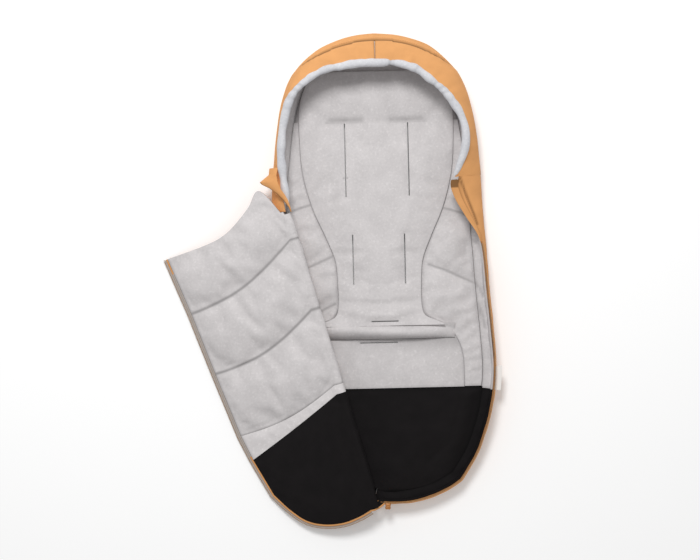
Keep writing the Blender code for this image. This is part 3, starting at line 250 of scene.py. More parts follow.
def follow(table, place):
    """Smooth value at a place through a table of (place, value) pairs."""
    if place <= table[0][0]:
        return table[0][1]
    if place >= table[-1][0]:
        return table[-1][1]
    index = next(i for i in range(1, len(table)) if place <= table[i][0])
    before = table[max(index - 2, 0)]
    start = table[index - 1]
    end = table[index]
    after = table[min(index + 1, len(table) - 1)]
    span = end[0] - start[0]
    slope_start = (end[1] - before[1]) / (end[0] - before[0]) * span
    slope_end = (after[1] - start[1]) / (after[0] - start[0]) * span
    share = (place - start[0]) / span
    square = share * share
    cube = square * share
    return (
        start[1] * (2 * cube - 3 * square + 1) + slope_start * (cube - 2 * square + share)
        + end[1] * (3 * square - 2 * cube) + slope_end * (cube - square)
    )


def spline(points, count):
    """Points along a smooth curve through the given ones."""
    result = []
    last = len(points) - 1
    for i in range(last):
        before = points[max(i - 1, 0)]
        start = points[i]
        end = points[i + 1]
        after = points[min(i + 2, last)]
        for k in range(count):
            share = k / count
            square = share * share
            cube = square * share
            result.append(0.5 * (
                2 * start + (end - before) * share
                + (2 * before - 5 * start + 4 * end - after) * square
                + (3 * start - before - 3 * end + after) * cube
            ))
    result.append(points[-1])
    return result


def half_outline(side):
    """One half of the outline, from the middle of the head to the middle of the toe."""
    shares = OUTLINE_SHARES if side > 0 else OUTLINE_SHARES[:-1] + LEFT_TOE_SHARES
    points = [Vector((side * x * HALF_WIDTH, y * HALF_LENGTH)) for x, y in shares]
    start = math.radians(TOE_ARC_START_DEG if side > 0 else TOE_ARC_LEFT_DEG)
    end = -math.acos(-TOE_ARC_X / TOE_ARC_RADIUS)
    arc = [Vector((TOE_ARC_X + TOE_ARC_RADIUS * math.cos(angle),
                   TOE_ARC_Y + TOE_ARC_RADIUS * math.sin(angle)))
           for angle in steps(start, end, 24)]
    return spline(points + [arc[0]], 8)[:-1] + arc


def running_lengths(points):
    """Length along a path up to each of its points."""
    lengths = [0.0]
    for start, end in zip(points, points[1:]):
        lengths.append(lengths[-1] + (end - start).length)
    return lengths


OUTLINES = {side: half_outline(side) for side in (-1, 1)}
OUTLINE_LENGTHS = {side: running_lengths(OUTLINES[side]) for side in (-1, 1)}
OUTLINE_LENGTH = OUTLINE_LENGTHS[1][-1]


def outline_point(place):
    """Silhouette at a share of the half outline: right for positive places, left for
    negative ones. A place past 1 goes on over the toe to the left."""
    if place > 1.0:
        place -= 2.0
    side = -1 if place < 0 else 1
    points = OUTLINES[side]
    lengths = OUTLINE_LENGTHS[side]
    target = abs(place) * lengths[-1]
    index = min(max(bisect_left(lengths, target), 1), len(points) - 1)
    share = (target - lengths[index - 1]) / (lengths[index] - lengths[index - 1])
    point = points[index - 1].lerp(points[index], share)
    return Vector((point.x, point.y, 0.0))


def outline_normal(place):
    """Outward direction of the silhouette, level."""
    ahead = outline_point(place + OUTLINE_REACH_SHARE)
    behind = outline_point(place - OUTLINE_REACH_SHARE)
    along = (ahead - behind).normalized()
    return Vector((-along.y, along.x, 0.0))


FOLD_ALONG = (FOLD_HEAD - FOLD_TOE).normalized()
FOLD_OUT = Vector((-FOLD_ALONG.y, FOLD_ALONG.x, 0.0)).normalized()


def fold_seat(share):
    """Place of the left panel's upper edge, against the lower left of the fold roll."""
    centre = FOLD_HEAD.lerp(FOLD_TOE, share * (1 - ROLL_TOE_SHARE))
    reach = FOLD_ROLL_RADIUS + FOLD_GAP
    late = max(0.0, (share - 0.7) / 0.3)
    angle = math.radians(FOLD_SEAT_DEG + (FOLD_SEAT_TOE_DEG - FOLD_SEAT_DEG) * late)
    return centre + FOLD_OUT * reach * math.cos(angle) - UP * reach * math.sin(angle)


def wall_controls(place):
    """Four points that shape the wall's outer surface above one place of the outline. On
    the left, below the hood, the slack cloth hangs down from the fold roll."""
    foot = outline_point(place)
    out = outline_normal(place)
    base = foot - out * BASE_INSET
    if place < -HOOD_LEFT_SHARE:
        share = min(1.0, (-place - HOOD_LEFT_SHARE) / (2 - TOE_SEAM_SHARE - HOOD_LEFT_SHARE))
        drawn = -out * LEFT_DRAW_IN * math.sin(math.pi * share) ** 0.8
        foot += drawn
        top = fold_seat(share)
        slack = min(1.0, (Vector((top.x, top.y, 0.0)) - foot).length / (BASE_INSET * 4))
        high_out = WALL_BULGE * (0.2 + slack * 1.2)
        high_z = top.z * (0.75 - slack * 0.17)
        return base + drawn, foot + out * WALL_BULGE, foot + out * high_out + UP * high_z, top
    if place < 0:
        tables = (LEFT_HEIGHT_SHARES, LEFT_LEAN_SHARES, LEFT_ROUND_SHARES, LEFT_SHOULDER_SHARES)
    else:
        tables = (RIGHT_HEIGHT_SHARES, RIGHT_LEAN_SHARES, RIGHT_ROUND_SHARES,
                  RIGHT_SHOULDER_SHARES)
    height, lean, roundness, shoulder = (follow(table, abs(place)) for table in tables)
    top_z = HOOD_HEIGHT * height
    low = foot + out * WALL_BULGE
    high = foot + out * WALL_BULGE * shoulder + UP * top_z * roundness
    return base, low, high, foot - out * HOOD_LEAN * lean + UP * top_z


def bezier(controls, rise):
    """Point of a cubic curve; past either end it goes on straight."""
    base, low, high, top = controls
    if rise > 1.0:
        return top + (top - high) * 3 * (rise - 1.0)
    rest = 1 - rise
    return (base * rest ** 3 + low * 3 * rise * rest ** 2
            + high * 3 * rise ** 2 * rest + top * rise ** 3)


def bezier_slope(controls, rise):
    """Direction of a cubic curve."""
    base, low, high, top = controls
    rise = min(rise, 1.0)
    rest = 1 - rise
    slope = (low - base) * rest ** 2 + (high - low) * 2 * rise * rest + (top - high) * rise ** 2
    return slope.normalized()


def wall_frame(place, rise):
    """Point, outward normal and upward slope of the wall's outer surface."""
    here = wall_controls(place)
    along = (bezier(wall_controls(place + WALL_REACH_SHARE), rise)
             - bezier(wall_controls(place - WALL_REACH_SHARE), rise))
    slope = bezier_slope(here, rise)
    return bezier(here, rise), slope.cross(along).normalized(), slope


def wall_grid(places, rises):
    """Points and outward normals of the wall's outer surface; rises may be a function."""
    points = []
    normals = []
    for place in places:
        here = wall_controls(place)
        ahead = wall_controls(place + WALL_REACH_SHARE)
        behind = wall_controls(place - WALL_REACH_SHARE)
        levels = rises(place) if callable(rises) else rises
        points.append([tuple(bezier(here, rise)) for rise in levels])
        normals.append([tuple(bezier_slope(here, rise).cross(
            bezier(ahead, rise) - bezier(behind, rise)).normalized()) for rise in levels])
    return np.array(points), np.array(normals)


def wall_depth(place, rise):
    """Depth of the lining's inner face under the wall's outer surface."""
    full = LEFT_DEPTH if place < -HOOD_LEFT_SHARE else WALL_DEPTH
    taper = max(0.0, (rise - 0.6) / 0.4)
    return full + (min(full, EDGE_DEPTH) - full) * taper * taper


def cover_matrix():
    """Frame of the cover: X along the fold to the head, Y away from the body, Z up."""
    droop = math.radians(FOLD_DROOP_DEG)
    level_up = FOLD_ALONG.cross(FOLD_OUT).normalized()
    if level_up.z < 0:
        level_up = -level_up
    across = FOLD_OUT * math.cos(droop) - level_up * math.sin(droop)
    normal = FOLD_ALONG.cross(across).normalized()
    matrix = Matrix((FOLD_ALONG, across, normal)).transposed().to_4x4()
    matrix.translation = FOLD_TOE
    return matrix


COVER_MATRIX = cover_matrix()


def from_cover(points):
    """Points of the cover's frame, in the body's frame."""
    matrix = np.array(COVER_MATRIX)
    return points @ matrix[:3, :3].T + matrix[:3, 3]


def cover_row(row):
    """Fold-edge place, zip-edge place and reach at a row number, which may be a fraction."""
    index = min(int(row), len(COVER_ROW_SHARES) - 2)
    share = row - index
    first = COVER_ROW_SHARES[index]
    second = COVER_ROW_SHARES[index + 1]
    near, far, reach = (a + (b - a) * share for a, b in zip(first, second))
    return near * COVER_LENGTH, far * COVER_LENGTH, reach * COVER_WIDTH


def cover_point(row, across, height=0.0):
    """A point of the cover in the fold line's frame."""
    near, far, reach = cover_row(row)
    start = FOLD_ROLL_RADIUS + FOLD_GAP
    last = len(COVER_ROW_SHARES) - 1
    toe = max(0.0, 1 - row)
    neck = max(0.0, row - (last - 1))
    sag = 1 - toe - neck
    place = near + (far - near) * across
    place -= COVER_SEAM_SAG * follow(SEAM_SAG_SHARES, row) * math.sin(math.pi * across) * sag
    place -= COVER_TOE_BOW * follow(COVER_TOE_SHARES, across) * toe
    place += COVER_CORNER_RISE * follow(COVER_NECK_SHARES, across) * neck
    return place, start + (reach - start) * across, height


def grid_normals(points):
    """Unit normals of a grid of points: its rows' direction crossed with its columns'."""
    normals = np.cross(np.gradient(points, axis=0), np.gradient(points, axis=1))
    return normals / np.maximum(np.linalg.norm(normals, axis=2, keepdims=True), 1e-12)


def finer(points):
    """A grid with a smooth new point between every two, along both directions."""
    for axis in (0, 1):
        line = np.moveaxis(points, axis, 0)
        before = np.concatenate((2 * line[:1] - line[1:2], line[:-2]))
        after = np.concatenate((line[2:], 2 * line[-1:] - line[-2:-1]))
        middle = (9 * (line[:-1] + line[1:]) - before - after) / 16
        result = np.empty((2 * len(line) - 1,) + line.shape[1:])
        result[::2] = line
        result[1::2] = middle
        points = np.moveaxis(result, 0, axis)
    return points


def path_distance(points, path):
    """Distance in plan from every point of a grid to a path through (x, y) pairs."""
    line = np.array(spline([Vector(point) for point in path], 8))
    spans = line[1:] - line[:-1]
    offsets = points[..., None, :2] - line[:-1]
    shares = (offsets * spans).sum(-1) / np.maximum((spans ** 2).sum(-1), 1e-12)
    gaps = offsets - np.clip(shares, 0.0, 1.0)[..., None] * spans
    return np.sqrt((gaps ** 2).sum(-1)).min(-1)


def fading(gap, width):
    """1 where there is no gap, falling off smoothly over a width."""
    return np.exp(-(gap / width) ** 2)


def ripple(points, size, seed):
    """Smooth noise between -1 and 1 at every point of a grid, with bumps of one size."""
    flat = points.reshape(-1, 3) / size
    shift = Vector((seed * 7.3, seed * 3.1, seed * 1.7))
    values = [noise.noise(Vector(point) + shift) for point in flat]
    return np.array(values).reshape(points.shape[:2])


def new_object(name, data):
    """An object of the scene, around a mesh, a lamp or a camera."""
    item = bpy.data.objects.new(name, data)
    bpy.context.scene.collection.objects.link(item)
    return item


def discard(item):
    """Remove an object and its mesh."""
    mesh = item.data
    bpy.data.objects.remove(item, do_unlink=True)
    bpy.data.meshes.remove(mesh)


def apply_modifiers(piece):
    """Replace a piece's mesh by what its modifiers make of it."""
    evaluated = piece.evaluated_get(bpy.context.evaluated_depsgraph_get())
    made = bpy.data.meshes.new_from_object(evaluated)
    piece.modifiers.clear()
    old = piece.data
    piece.data = made
    bpy.data.meshes.remove(old)


def grid_quads(index):
    """Point numbers at the corners of every cell of a grid."""
    cells = np.stack((index[:-1, :-1], index[1:, :-1], index[1:, 1:], index[:-1, 1:]), -1)
    return cells.reshape(-1, 4)


def smoothed(points, held):
    """A grid with its smallest wrinkles taken out, but for its held points."""
    for _ in range(SMOOTH_PASSES):
        mean = points.copy()
        mean[1:-1, 1:-1] = (points[2:, 1:-1] + points[:-2, 1:-1] + points[1:-1, 2:]
                            + points[1:-1, :-2] + 4 * points[1:-1, 1:-1]) / 8
        points = np.where(held[..., None], points, mean)
    return points


def billow(points, held, up, slack):
    """A grid of cloth blown up between its held points, by a short cloth simulation: the
    way that quilting puffs up, with its slack as a share of its size."""
    rows, columns = held.shape
    index = np.arange(rows * columns).reshape(rows, columns)
    quads = grid_quads(index)
    if (grid_normals(points) * up).sum() < 0:
        quads = quads[:, ::-1]
    mesh = bpy.data.meshes.new("cloth")
    mesh.from_pydata(points.reshape(-1, 3).tolist(), [], quads.tolist())
    cloth = new_object("cloth", mesh)
    group = cloth.vertex_groups.new(name="held")
    group.add(index[held].tolist(), 1.0, "REPLACE")
    modifier = cloth.modifiers.new("cloth", "CLOTH")
    settings = modifier.settings
    settings.quality = 6
    settings.mass = 0.3
    settings.tension_stiffness = settings.compression_stiffness = 15
    settings.shear_stiffness = 5
    settings.bending_stiffness = 0.5
    settings.tension_damping = settings.compression_damping = settings.shear_damping = 5
    settings.bending_damping = 0.5
    settings.use_pressure = True
    settings.uniform_pressure_force = CLOTH_PRESSURE
    settings.shrink_min = -slack
    settings.vertex_group_mass = "held"
    settings.effector_weights.gravity = 0
    modifier.collision_settings.use_collision = False
    for number in range(1, CLOTH_FRAMES + 1):
        bpy.context.scene.frame_set(number)
    evaluated = cloth.evaluated_get(bpy.context.evaluated_depsgraph_get())
    result = np.empty(rows * columns * 3)
    evaluated.data.vertices.foreach_get("co", result)
    discard(cloth)
    bpy.context.scene.frame_set(1)
    return smoothed(result.reshape(rows, columns, 3), held)


def edges_held(grid):
    """A mask of a grid whose border is held."""
    held = np.zeros(grid.shape[:2], dtype=bool)
    held[0] = held[-1] = True
    held[:, 0] = held[:, -1] = True
    return held


def sewn_sheet(points):
    """Lengths of a grid's spans across and along; nothing is done with them."""
    across = np.linalg.norm(np.diff(points, axis=1), axis=2)
    along = np.linalg.norm(np.diff(points, axis=0), axis=2)


def add_piece(name, points, faces, look, uvs, shade):
    """A smooth mesh object with a UV map in metres, and its painted shade, in seams and elsewhere,
    as an attribute.
    """
    mesh = bpy.data.meshes.new(name)
    mesh.from_pydata(points.tolist(), [], faces)
    mesh.update()
    work = bmesh.new()
    work.from_mesh(mesh)
    if work.calc_volume(signed=True) < 0:
        bmesh.ops.reverse_faces(work, faces=work.faces)
    work.to_mesh(mesh)
    work.free()
    corners = np.empty(len(mesh.loops), dtype=np.int32)
    mesh.loops.foreach_get("vertex_index", corners)
    layer = mesh.uv_layers.new(name="metres")
    layer.uv.foreach_set("vector", uvs[corners].ravel())
    # The seam attribute holds painted shade, in seams and elsewhere.
    attribute = mesh.attributes.new("seam", "FLOAT", "POINT")
    if shade is not None:
        attribute.data.foreach_set("value", shade.astype(np.float32))
    mesh.shade_smooth()
    mesh.set_sharp_from_angle(angle=math.radians(SHARP_DEG))
    mesh.materials.append(look)
    piece = new_object(name, mesh)
    return piece


def grid_lengths(points, axis):
    """Running length along one direction of a grid, its mean over the other."""
    spans = np.linalg.norm(np.diff(points, axis=axis), axis=2).mean(axis=1 - axis)
    return np.concatenate(([0.0], np.cumsum(spans)))


def slab(name, upper, lower, look, shade=None):
    """A closed piece between two grids of points."""
    rows, columns = upper.shape[:2]
    count = rows * columns
    index = np.arange(count).reshape(rows, columns)
    quads = grid_quads(index)
    border = np.concatenate((index[0, :-1], index[:-1, -1], index[-1, :0:-1], index[:0:-1, 0]))
    turned = np.roll(border, -1)
    sides = np.stack((border, turned, turned + count, border + count), -1)
    faces = np.concatenate((quads, quads[:, ::-1] + count, sides))
    points = np.concatenate((upper.reshape(-1, 3), lower.reshape(-1, 3)))
    u, v = np.meshgrid(grid_lengths(upper, 0), grid_lengths(upper, 1), indexing="ij")
    uvs = np.tile(np.stack((u.ravel(), v.ravel()), -1), (2, 1))
    dark = None if shade is None else np.tile(np.clip(shade, 0.0, 1.0).ravel(), 2)
    return add_piece(name, points, faces.tolist(), look, uvs, dark)


def roll(name, rings, look, shade=None):
    """A closed round piece through rings of points, with flat ends."""
    count, sides = rings.shape[:2]
    index = np.arange(count * sides).reshape(count, sides)
    turned = np.roll(index, -1, axis=1)
    quads = np.stack((index[:-1], index[1:], turned[1:], turned[:-1]), -1).reshape(-1, 4)
    faces = quads.tolist() + [index[0].tolist(), index[-1, ::-1].tolist()]
    u, v = np.meshgrid(grid_lengths(rings, 0), grid_lengths(rings, 1), indexing="ij")
    uvs = np.stack((u.ravel(), v.ravel()), -1)
    dark = None if shade is None else np.clip(shade, 0.0, 1.0).ravel()
    return add_piece(name, rings.reshape(-1, 3), faces, look, uvs, dark)


def round_rings(centres, firsts, seconds, radii, sides):
    """Rings around a path, in the planes of two unit directions."""
    angles = np.linspace(0.0, 2 * math.pi, sides, endpoint=False)
    turn = (np.cos(angles)[None, :, None] * firsts[:, None]
            + np.sin(angles)[None, :, None] * seconds[:, None])
    return centres[:, None] + turn * np.asarray(radii).reshape(-1, 1, 1)


def linear(value):
    """One sRGB channel from 0 to 1 as a linear value."""
    if value <= 0.04045:
        return value / 12.92
    return ((value + 0.055) / 1.055) ** 2.4


def colour(code):
    """Linear colour from a colour written as sRGB hex."""
    return tuple(linear(int(code[i:i + 2], 16) / 255) for i in (0, 2, 4)) + (1.0,)


def add_node(tree, kind, values=None, links=None, **settings):
    """Add one node: settings are its own, values fill its sockets and links join them."""
    node = tree.nodes.new(kind)
    for key, value in settings.items():
        setattr(node, key, value)
    for key, value in (values or {}).items():
        node.inputs[key].default_value = value
    for key, output in (links or {}).items():
        tree.links.new(output, node.inputs[key])
    return node


def new_look(name):
    """A material with an empty tree but its output."""
    look = bpy.data.materials.new(name)
    look.use_nodes = True
    tree = look.node_tree
    tree.nodes.clear()
    return look, tree


def finish_look(tree, shader):
    """Join a shader to the material's output."""
    add_node(tree, "ShaderNodeOutputMaterial", links={"Surface": shader.outputs[0]})


def seam_mix(tree, base, dark):
    """Base colour that falls to a dark one where the seam attribute rises: painted shade."""
    seam = add_node(tree, "ShaderNodeAttribute", attribute_name="seam")
    mix = add_node(tree, "ShaderNodeMix", {7: dark}, {0: seam.outputs["Fac"], 6: base},
                   data_type="RGBA")
    return mix.outputs[2]


def mottled(tree, place, size, light, dark, low, high):
    """Two shades of one colour, mixed by noise with bumps of one size in metres."""
    grain = add_node(tree, "ShaderNodeTexNoise", {"Scale": 1.0 / size, "Detail": 3.0},
                     {"Vector": place})
    ramp = add_node(tree, "ShaderNodeValToRGB", links={"Fac": grain.outputs["Fac"]})
    for stop, position, tint in zip(ramp.color_ramp.elements, (low, high), (dark, light)):
        stop.position = position
        stop.color = tint
    return ramp.outputs["Color"]


def woven_look(name, light, dark, seam, roughness):
    """Woven polyester canvas: matt, with the grid of its yarns as a bump, a faint mottle where it
    takes up dye unevenly, and painted shade in its seams, creases and hollows."""
    look, tree = new_look(name)
    place = add_node(tree, "ShaderNodeUVMap", uv_map="metres").outputs["UV"]
    tint = mottled(tree, place, CANVAS_MOTTLE, light, dark, 0.30, 0.70)
    across, along = (
        add_node(tree, "ShaderNodeTexWave", {"Scale": WAVE_STRAIGHT / WEAVE_PITCH},
                 {"Vector": place}, bands_direction=axis) for axis in "XY")
    weave = add_node(tree, "ShaderNodeMath", links={0: across.outputs["Fac"],
                                                    1: along.outputs["Fac"]}, operation="ADD")
    bump = add_node(tree, "ShaderNodeBump", {"Strength": 0.5, "Distance": WEAVE_DEPTH},
                    {"Height": weave.outputs[0]})
    shader = add_node(
        tree, "ShaderNodeBsdfPrincipled",
        {"Roughness": roughness, "Specular IOR Level": 0.15},
        {"Base Color": seam_mix(tree, tint, seam), "Normal": bump.outputs["Normal"]})
    finish_look(tree, shader)
    return look


def fleece_look(name, light, dark, seam):
    """Brushed polyester fleece: fully matt, with flecks of two shades from its mixed yarns, a soft
    nap that blurs its edges, and painted shade in its seams, creases and hollows. The nap is drawn
    coarser than the real pile, which is too fine for the picture."""
    look, tree = new_look(name)
    place = add_node(tree, "ShaderNodeTexCoord").outputs["Object"]
    fine = mottled(tree, place, FLECK_SIZE, light, dark, 0.25, 0.75)
    broad = mottled(tree, place, FLEECE_MOTTLE, light, dark, 0.35, 0.65)
    both = add_node(tree, "ShaderNodeMix", {0: 0.45}, {6: fine, 7: broad}, data_type="RGBA")
    fleck = mottled(tree, place, BRIGHT_FLECK_SIZE, (1.10, 1.10, 1.10, 1.0),
                    (0.985, 0.985, 0.985, 1.0), 0.56, 0.72)
    flecked = add_node(tree, "ShaderNodeMix", {0: 1.0}, {6: both.outputs[2], 7: fleck},
                       data_type="RGBA", blend_type="MULTIPLY")
    tint = flecked.outputs[2]
    nap = add_node(tree, "ShaderNodeTexNoise", {"Scale": 1.0 / PILE_SIZE, "Detail": 4.0},
                   {"Vector": place})
    bump = add_node(tree, "ShaderNodeBump", {"Strength": 0.55, "Distance": PILE_DEPTH},
                    {"Height": nap.outputs["Fac"]})
    shader = add_node(
        tree, "ShaderNodeBsdfPrincipled",
        {"Roughness": 0.95, "Specular IOR Level": 0.1, "Sheen Weight": 0.08,
         "Sheen Roughness": 0.6},
        {"Base Color": seam_mix(tree, tint, seam), "Normal": bump.outputs["Normal"]})
    finish_look(tree, shader)
    return look


def plain_look(name, tint, roughness, metallic=0.0, coat=0.0):
    """A smooth finish of one colour: moulded nylon, enamel, satin tape or thread."""
    look, tree = new_look(name)
    shader = add_node(tree, "ShaderNodeBsdfPrincipled",
                      {"Base Color": tint, "Roughness": roughness, "Metallic": metallic,
                       "Coat Weight": coat, "Coat Roughness": 0.2})
    finish_look(tree, shader)
    return look


def tape_look(name, tint, dark):
    """Woven twill tape: slanting ribs of two shades, drawn twice as coarse as real ones."""
    look, tree = new_look(name)
    place = add_node(tree, "ShaderNodeUVMap", uv_map="metres").outputs["UV"]
    ribs = add_node(tree, "ShaderNodeTexWave", {"Scale": WAVE_SLANTING / TWILL_PITCH,
                                                   "Distortion": 0.4},
                    {"Vector": place}, bands_direction="DIAGONAL")
    ramp = add_node(tree, "ShaderNodeValToRGB", links={"Fac": ribs.outputs["Fac"]})
    ramp.color_ramp.elements[0].color = dark
    ramp.color_ramp.elements[1].color = tint
    shader = add_node(tree, "ShaderNodeBsdfPrincipled", {"Roughness": 0.8},
                      {"Base Color": ramp.outputs["Color"]})
    finish_look(tree, shader)
    return look


LOOKS = {}


def make_looks(settings):
    """All finishes of the footmuff, from the panel's colours."""
    outer = tuple(settings.outer_colour)
    lining = tuple(settings.lining_colour)
    foot = tuple(settings.foot_colour)
    # Canvas dyed a warm caramel. The piping is cut from it and painted a shade darker, as painted
    # shade where it turns from the light. At the feet the canvas is black, and its weave shows
    # only in the highlights.
    LOOKS["outer"] = woven_look("caramel_canvas", outer, shaded(outer, 0.90),
                                shaded(outer, 0.30), 0.82)
    LOOKS["piping"] = woven_look("caramel_piping_painted_shade", shaded(outer, 0.93), shaded(outer, 0.82),
                                 shaded(outer, 0.30), 0.80)
    LOOKS["black"] = woven_look("black_foot_canvas", foot, shaded(foot, 0.72),
                                shaded(foot, 0.25), 0.78)
    # Grey melange fleece. The hem's is combed flat and paler. The hood's is painted lighter, as
    # painted light where it faces the window. The rim's is close to white with a cool tinge,
    # mottled a little greyer.
    for key, name, shares in (("fleece", "grey_melange_fleece", (1.06, 0.88, 0.42)),
                              ("pale", "pale_hem_fleece", (1.14, 1.02, 0.45)),
                              ("hood", "hood_fleece_painted_light", (1.20, 1.02, 0.45))):
        LOOKS[key] = fleece_look(name, *(shaded(lining, share) for share in shares))
    LOOKS["rim"] = fleece_look("bluish_rim_fleece", colour("DCDCDF"), colour("C4C5CA"),
                               colour("7C7E82"))
    # Twill tape of the zip: dyed to the canvas on the body. On the cover it is painted grey-brown,
    # as painted shade of its edge.
    LOOKS["tape"] = tape_look("twill_zip_tape", colour("DDA263"), colour("BD8446"))
    LOOKS["grey_tape"] = tape_look("zip_tape_painted_shade", colour("BDB3AB"), colour("9C928A"))
    # Moulded nylon with a low shine, enamelled zinc under clear lacquer, smooth satin tape,
    # polyester thread darker than its canvas, and the cloth edges inside the slots painted dark,
    # as painted shade inside the slits
    LOOKS["teeth"] = plain_look("nylon_zip_teeth", colour("9A7650"), 0.42)
    LOOKS["slider"] = plain_look("lacquered_slider", colour("B4763A"), 0.35, 0.2, 0.4)
    LOOKS["tag"] = plain_look("blank_satin_tag", colour("EFEDEA"), 0.55)
    LOOKS["thread"] = plain_look("caramel_thread", shaded(outer, 0.72), 0.7)
    LOOKS["slot"] = plain_look("slot_painted_shade", shaded(lining, 0.30), 0.95)


def shaded(tint, share):
    """A linear colour made darker, or lighter above 1."""
    return tuple(min(1.0, channel * share) for channel in tint[:3]) + (1.0,)


def base_lines():
    """Base seam of the wall on each side: arrays of its y and its half width, by rising y."""
    lines = {}
    for side in (-1, 1):
        rows = []
        for i in range(400):
            base = wall_controls(side * i / 399)[0]
            rows.append((base.y, abs(base.x) if base.x * side > 0 else -abs(base.x)))
        rows.sort()
        lines[side] = np.array(rows).T
    return lines


BASE_LINES = base_lines()
FLOOR_TOE_Y = float(max(BASE_LINES[1][0][0], BASE_LINES[-1][0][0])) + PANEL_GAP


def base_half(y, side):
    """Half width of the flat back at a place along the body."""
    return float(np.interp(y, BASE_LINES[side][0], BASE_LINES[side][1]))


def plan_grid(ys, low_edge, high_edge, columns, z):
    """Level grid: rows along the body, columns from one edge curve to another."""
    points = np.empty((len(ys), columns, 3))
    shares = np.linspace(0.0, 1.0, columns)
    for i, y in enumerate(ys):
        low, high = low_edge(y), high_edge(y)
        points[i, :, 0] = low + (high - low) * shares
        points[i, :, 1] = y
    points[:, :, 2] = z
    return points


def raised(points, heights):
    """A copy of a grid moved up by an amount, or by a grid of amounts."""
    result = points.copy()
    result[:, :, 2] += heights
    return result


def puff_height(grid, start, held, slack, most):
    """How far a pad's cloth rises above a level grid by its slack, up to the most."""
    up = np.zeros_like(grid)
    up[:, :, 2] = 1.0
    puffed = billow(start, held, up, slack)
    return np.clip(puffed[:, :, 2] - grid[:, :, 2], 0.0, most)


def pad_on_back(name, top, look, shade):
    """A closed piece from a grid down to the top of the flat back."""
    bottom = top.copy()
    bottom[:, :, 2] = FLOOR_TOP
    return slab(name, top, bottom, LOOKS[look], shade)


def near(points, paths, reach):
    """Mask of the points within reach of any of the paths."""
    mask = np.zeros(points.shape[:2], dtype=bool)
    for path in paths:
        mask |= path_distance(points, path) < reach
    return mask


def seam_shade(points, paths, width):
    """Painted shade along paths, such as seams, slits and hollows: 1 on a path, falling off over a
    width.
    """
    shade = np.zeros(points.shape[:2])
    for path in paths:
        shade = np.maximum(shade, fading(path_distance(points, path), width))
    return shade


def border_shade(points, width):
    """Painted shade along a grid's sewn border, by the distance from its edge."""
    across = grid_lengths(points, 1)
    along = grid_lengths(points, 0)
    columns = np.minimum(across, across[-1] - across)
    rows = np.minimum(along, along[-1] - along)
    gap = np.minimum(rows[:, None], columns[None, :])
    return fading(gap, width)


CUTTER_LEVEL = 0.02
CUTTER_HEIGHT = 0.1


def cut_slits(piece, slits):
    """Cut straight slits right through a piece: each is (x, y, half x, half y)."""
    work = bmesh.new()
    for x, y, half_x, half_y in slits:
        matrix = Matrix.Translation((x, y, CUTTER_LEVEL)) @ Matrix.Diagonal(
            (2 * half_x, 2 * half_y, CUTTER_HEIGHT, 1.0))
        bmesh.ops.create_cube(work, size=1.0, matrix=matrix)
    mesh = bpy.data.meshes.new("slits")
    work.to_mesh(mesh)
    work.free()
    mesh.materials.append(LOOKS["slot"])
    cutter = new_object("slits", mesh)
    modifier = piece.modifiers.new("slits", "BOOLEAN")
    modifier.operation = "DIFFERENCE"
    modifier.solver = "EXACT"
    modifier.material_mode = "TRANSFER"
    modifier.object = cutter
    apply_modifiers(piece)
    discard(cutter)


def upright_slit(x, ys):
    """A slit along the body, as (x, y, half x, half y)."""
    return x, (ys[0] + ys[1]) / 2, SLIT_WIDTH / 2, (ys[1] - ys[0]) / 2


def level_slit(xs, y):
    """A slit across the body, as (x, y, half x, half y)."""
    return (xs[0] + xs[1]) / 2, y, (xs[1] - xs[0]) / 2, SLIT_WIDTH / 2


CROTCH_SLIT_Y = -0.103
LEG_SLIT_Y = -0.146
SEAT_SLITS = [upright_slit(side * SHOULDER_SLIT_X, SHOULDER_SLIT_YS) for side in (-1, 1)]
SEAT_SLITS += [upright_slit(side * WAIST_SLIT_X, WAIST_SLIT_YS) for side in (-1, 1)]
SEAT_SLITS += [level_slit(CROTCH_SLIT_XS, CROTCH_SLIT_Y)]
LEG_SLITS = [level_slit(LEG_SLIT_XS, LEG_SLIT_Y)]


def middle_half(y):
    """Half width of the middle panels at a place along the body."""
    return follow(MIDDLE_WIDTHS, y)


BACK_MARGIN = 0.001
BACK_HEAD_MARGIN = 0.003


def make_back():
    """Outer fabric and quilting of the flat back, with the slits cut right through."""
    ys = np.linspace(FLOOR_TOE_Y, HALF_LENGTH - BASE_INSET - BACK_HEAD_MARGIN, 120)
    for name, low, high, look, node in (
            ("back_outer", GROUND_CLEAR, SHELL_THICKNESS, "outer", "back_shell"),
            ("back_quilt", QUILT_BOTTOM, FLOOR_TOP - PANEL_GAP, "fleece", "back_wadding")):
        grid = plan_grid(ys, lambda y: -base_half(y, -1) + BACK_MARGIN,
                         lambda y: base_half(y, 1) - BACK_MARGIN, 60, 0.0)
        # Painted shade along its edges.
        piece = slab(name, raised(grid, high), raised(grid, low), LOOKS[look],
                     border_shade(grid, 0.006))
        cut_slits(piece, SEAT_SLITS + LEG_SLITS)
        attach(piece, "back")
        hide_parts(node)
        if node == "back_shell":
            sewn_sheet(grid)
        else:
            piece.data.materials.append(LOOKS["black"])
            for polygon in piece.data.polygons:
                if polygon.center.y < LEG_FOOT_Y:
                    polygon.material_index = len(piece.data.materials) - 1


# Seat panel: lift of its edge and of its middle, slack, most puff, and the step at its
# foot, where it climbs on to the bolster
SEAT_EDGE_LIFT = 0.0045
SEAT_MIDDLE_LIFT = 0.0035
SEAT_SLACK = 0.012
SEAT_PUFF = 0.0135
SLIT_DIP = 0.0022
CROSS_OFFSET = 0.002
CROSS_REACH = 0.01
BOLSTER_STEP = 0.0105
BOLSTER_STEP_REACH = 0.022
BARTACK = ((-0.0672, 0.1862), (-0.0598, 0.1862))


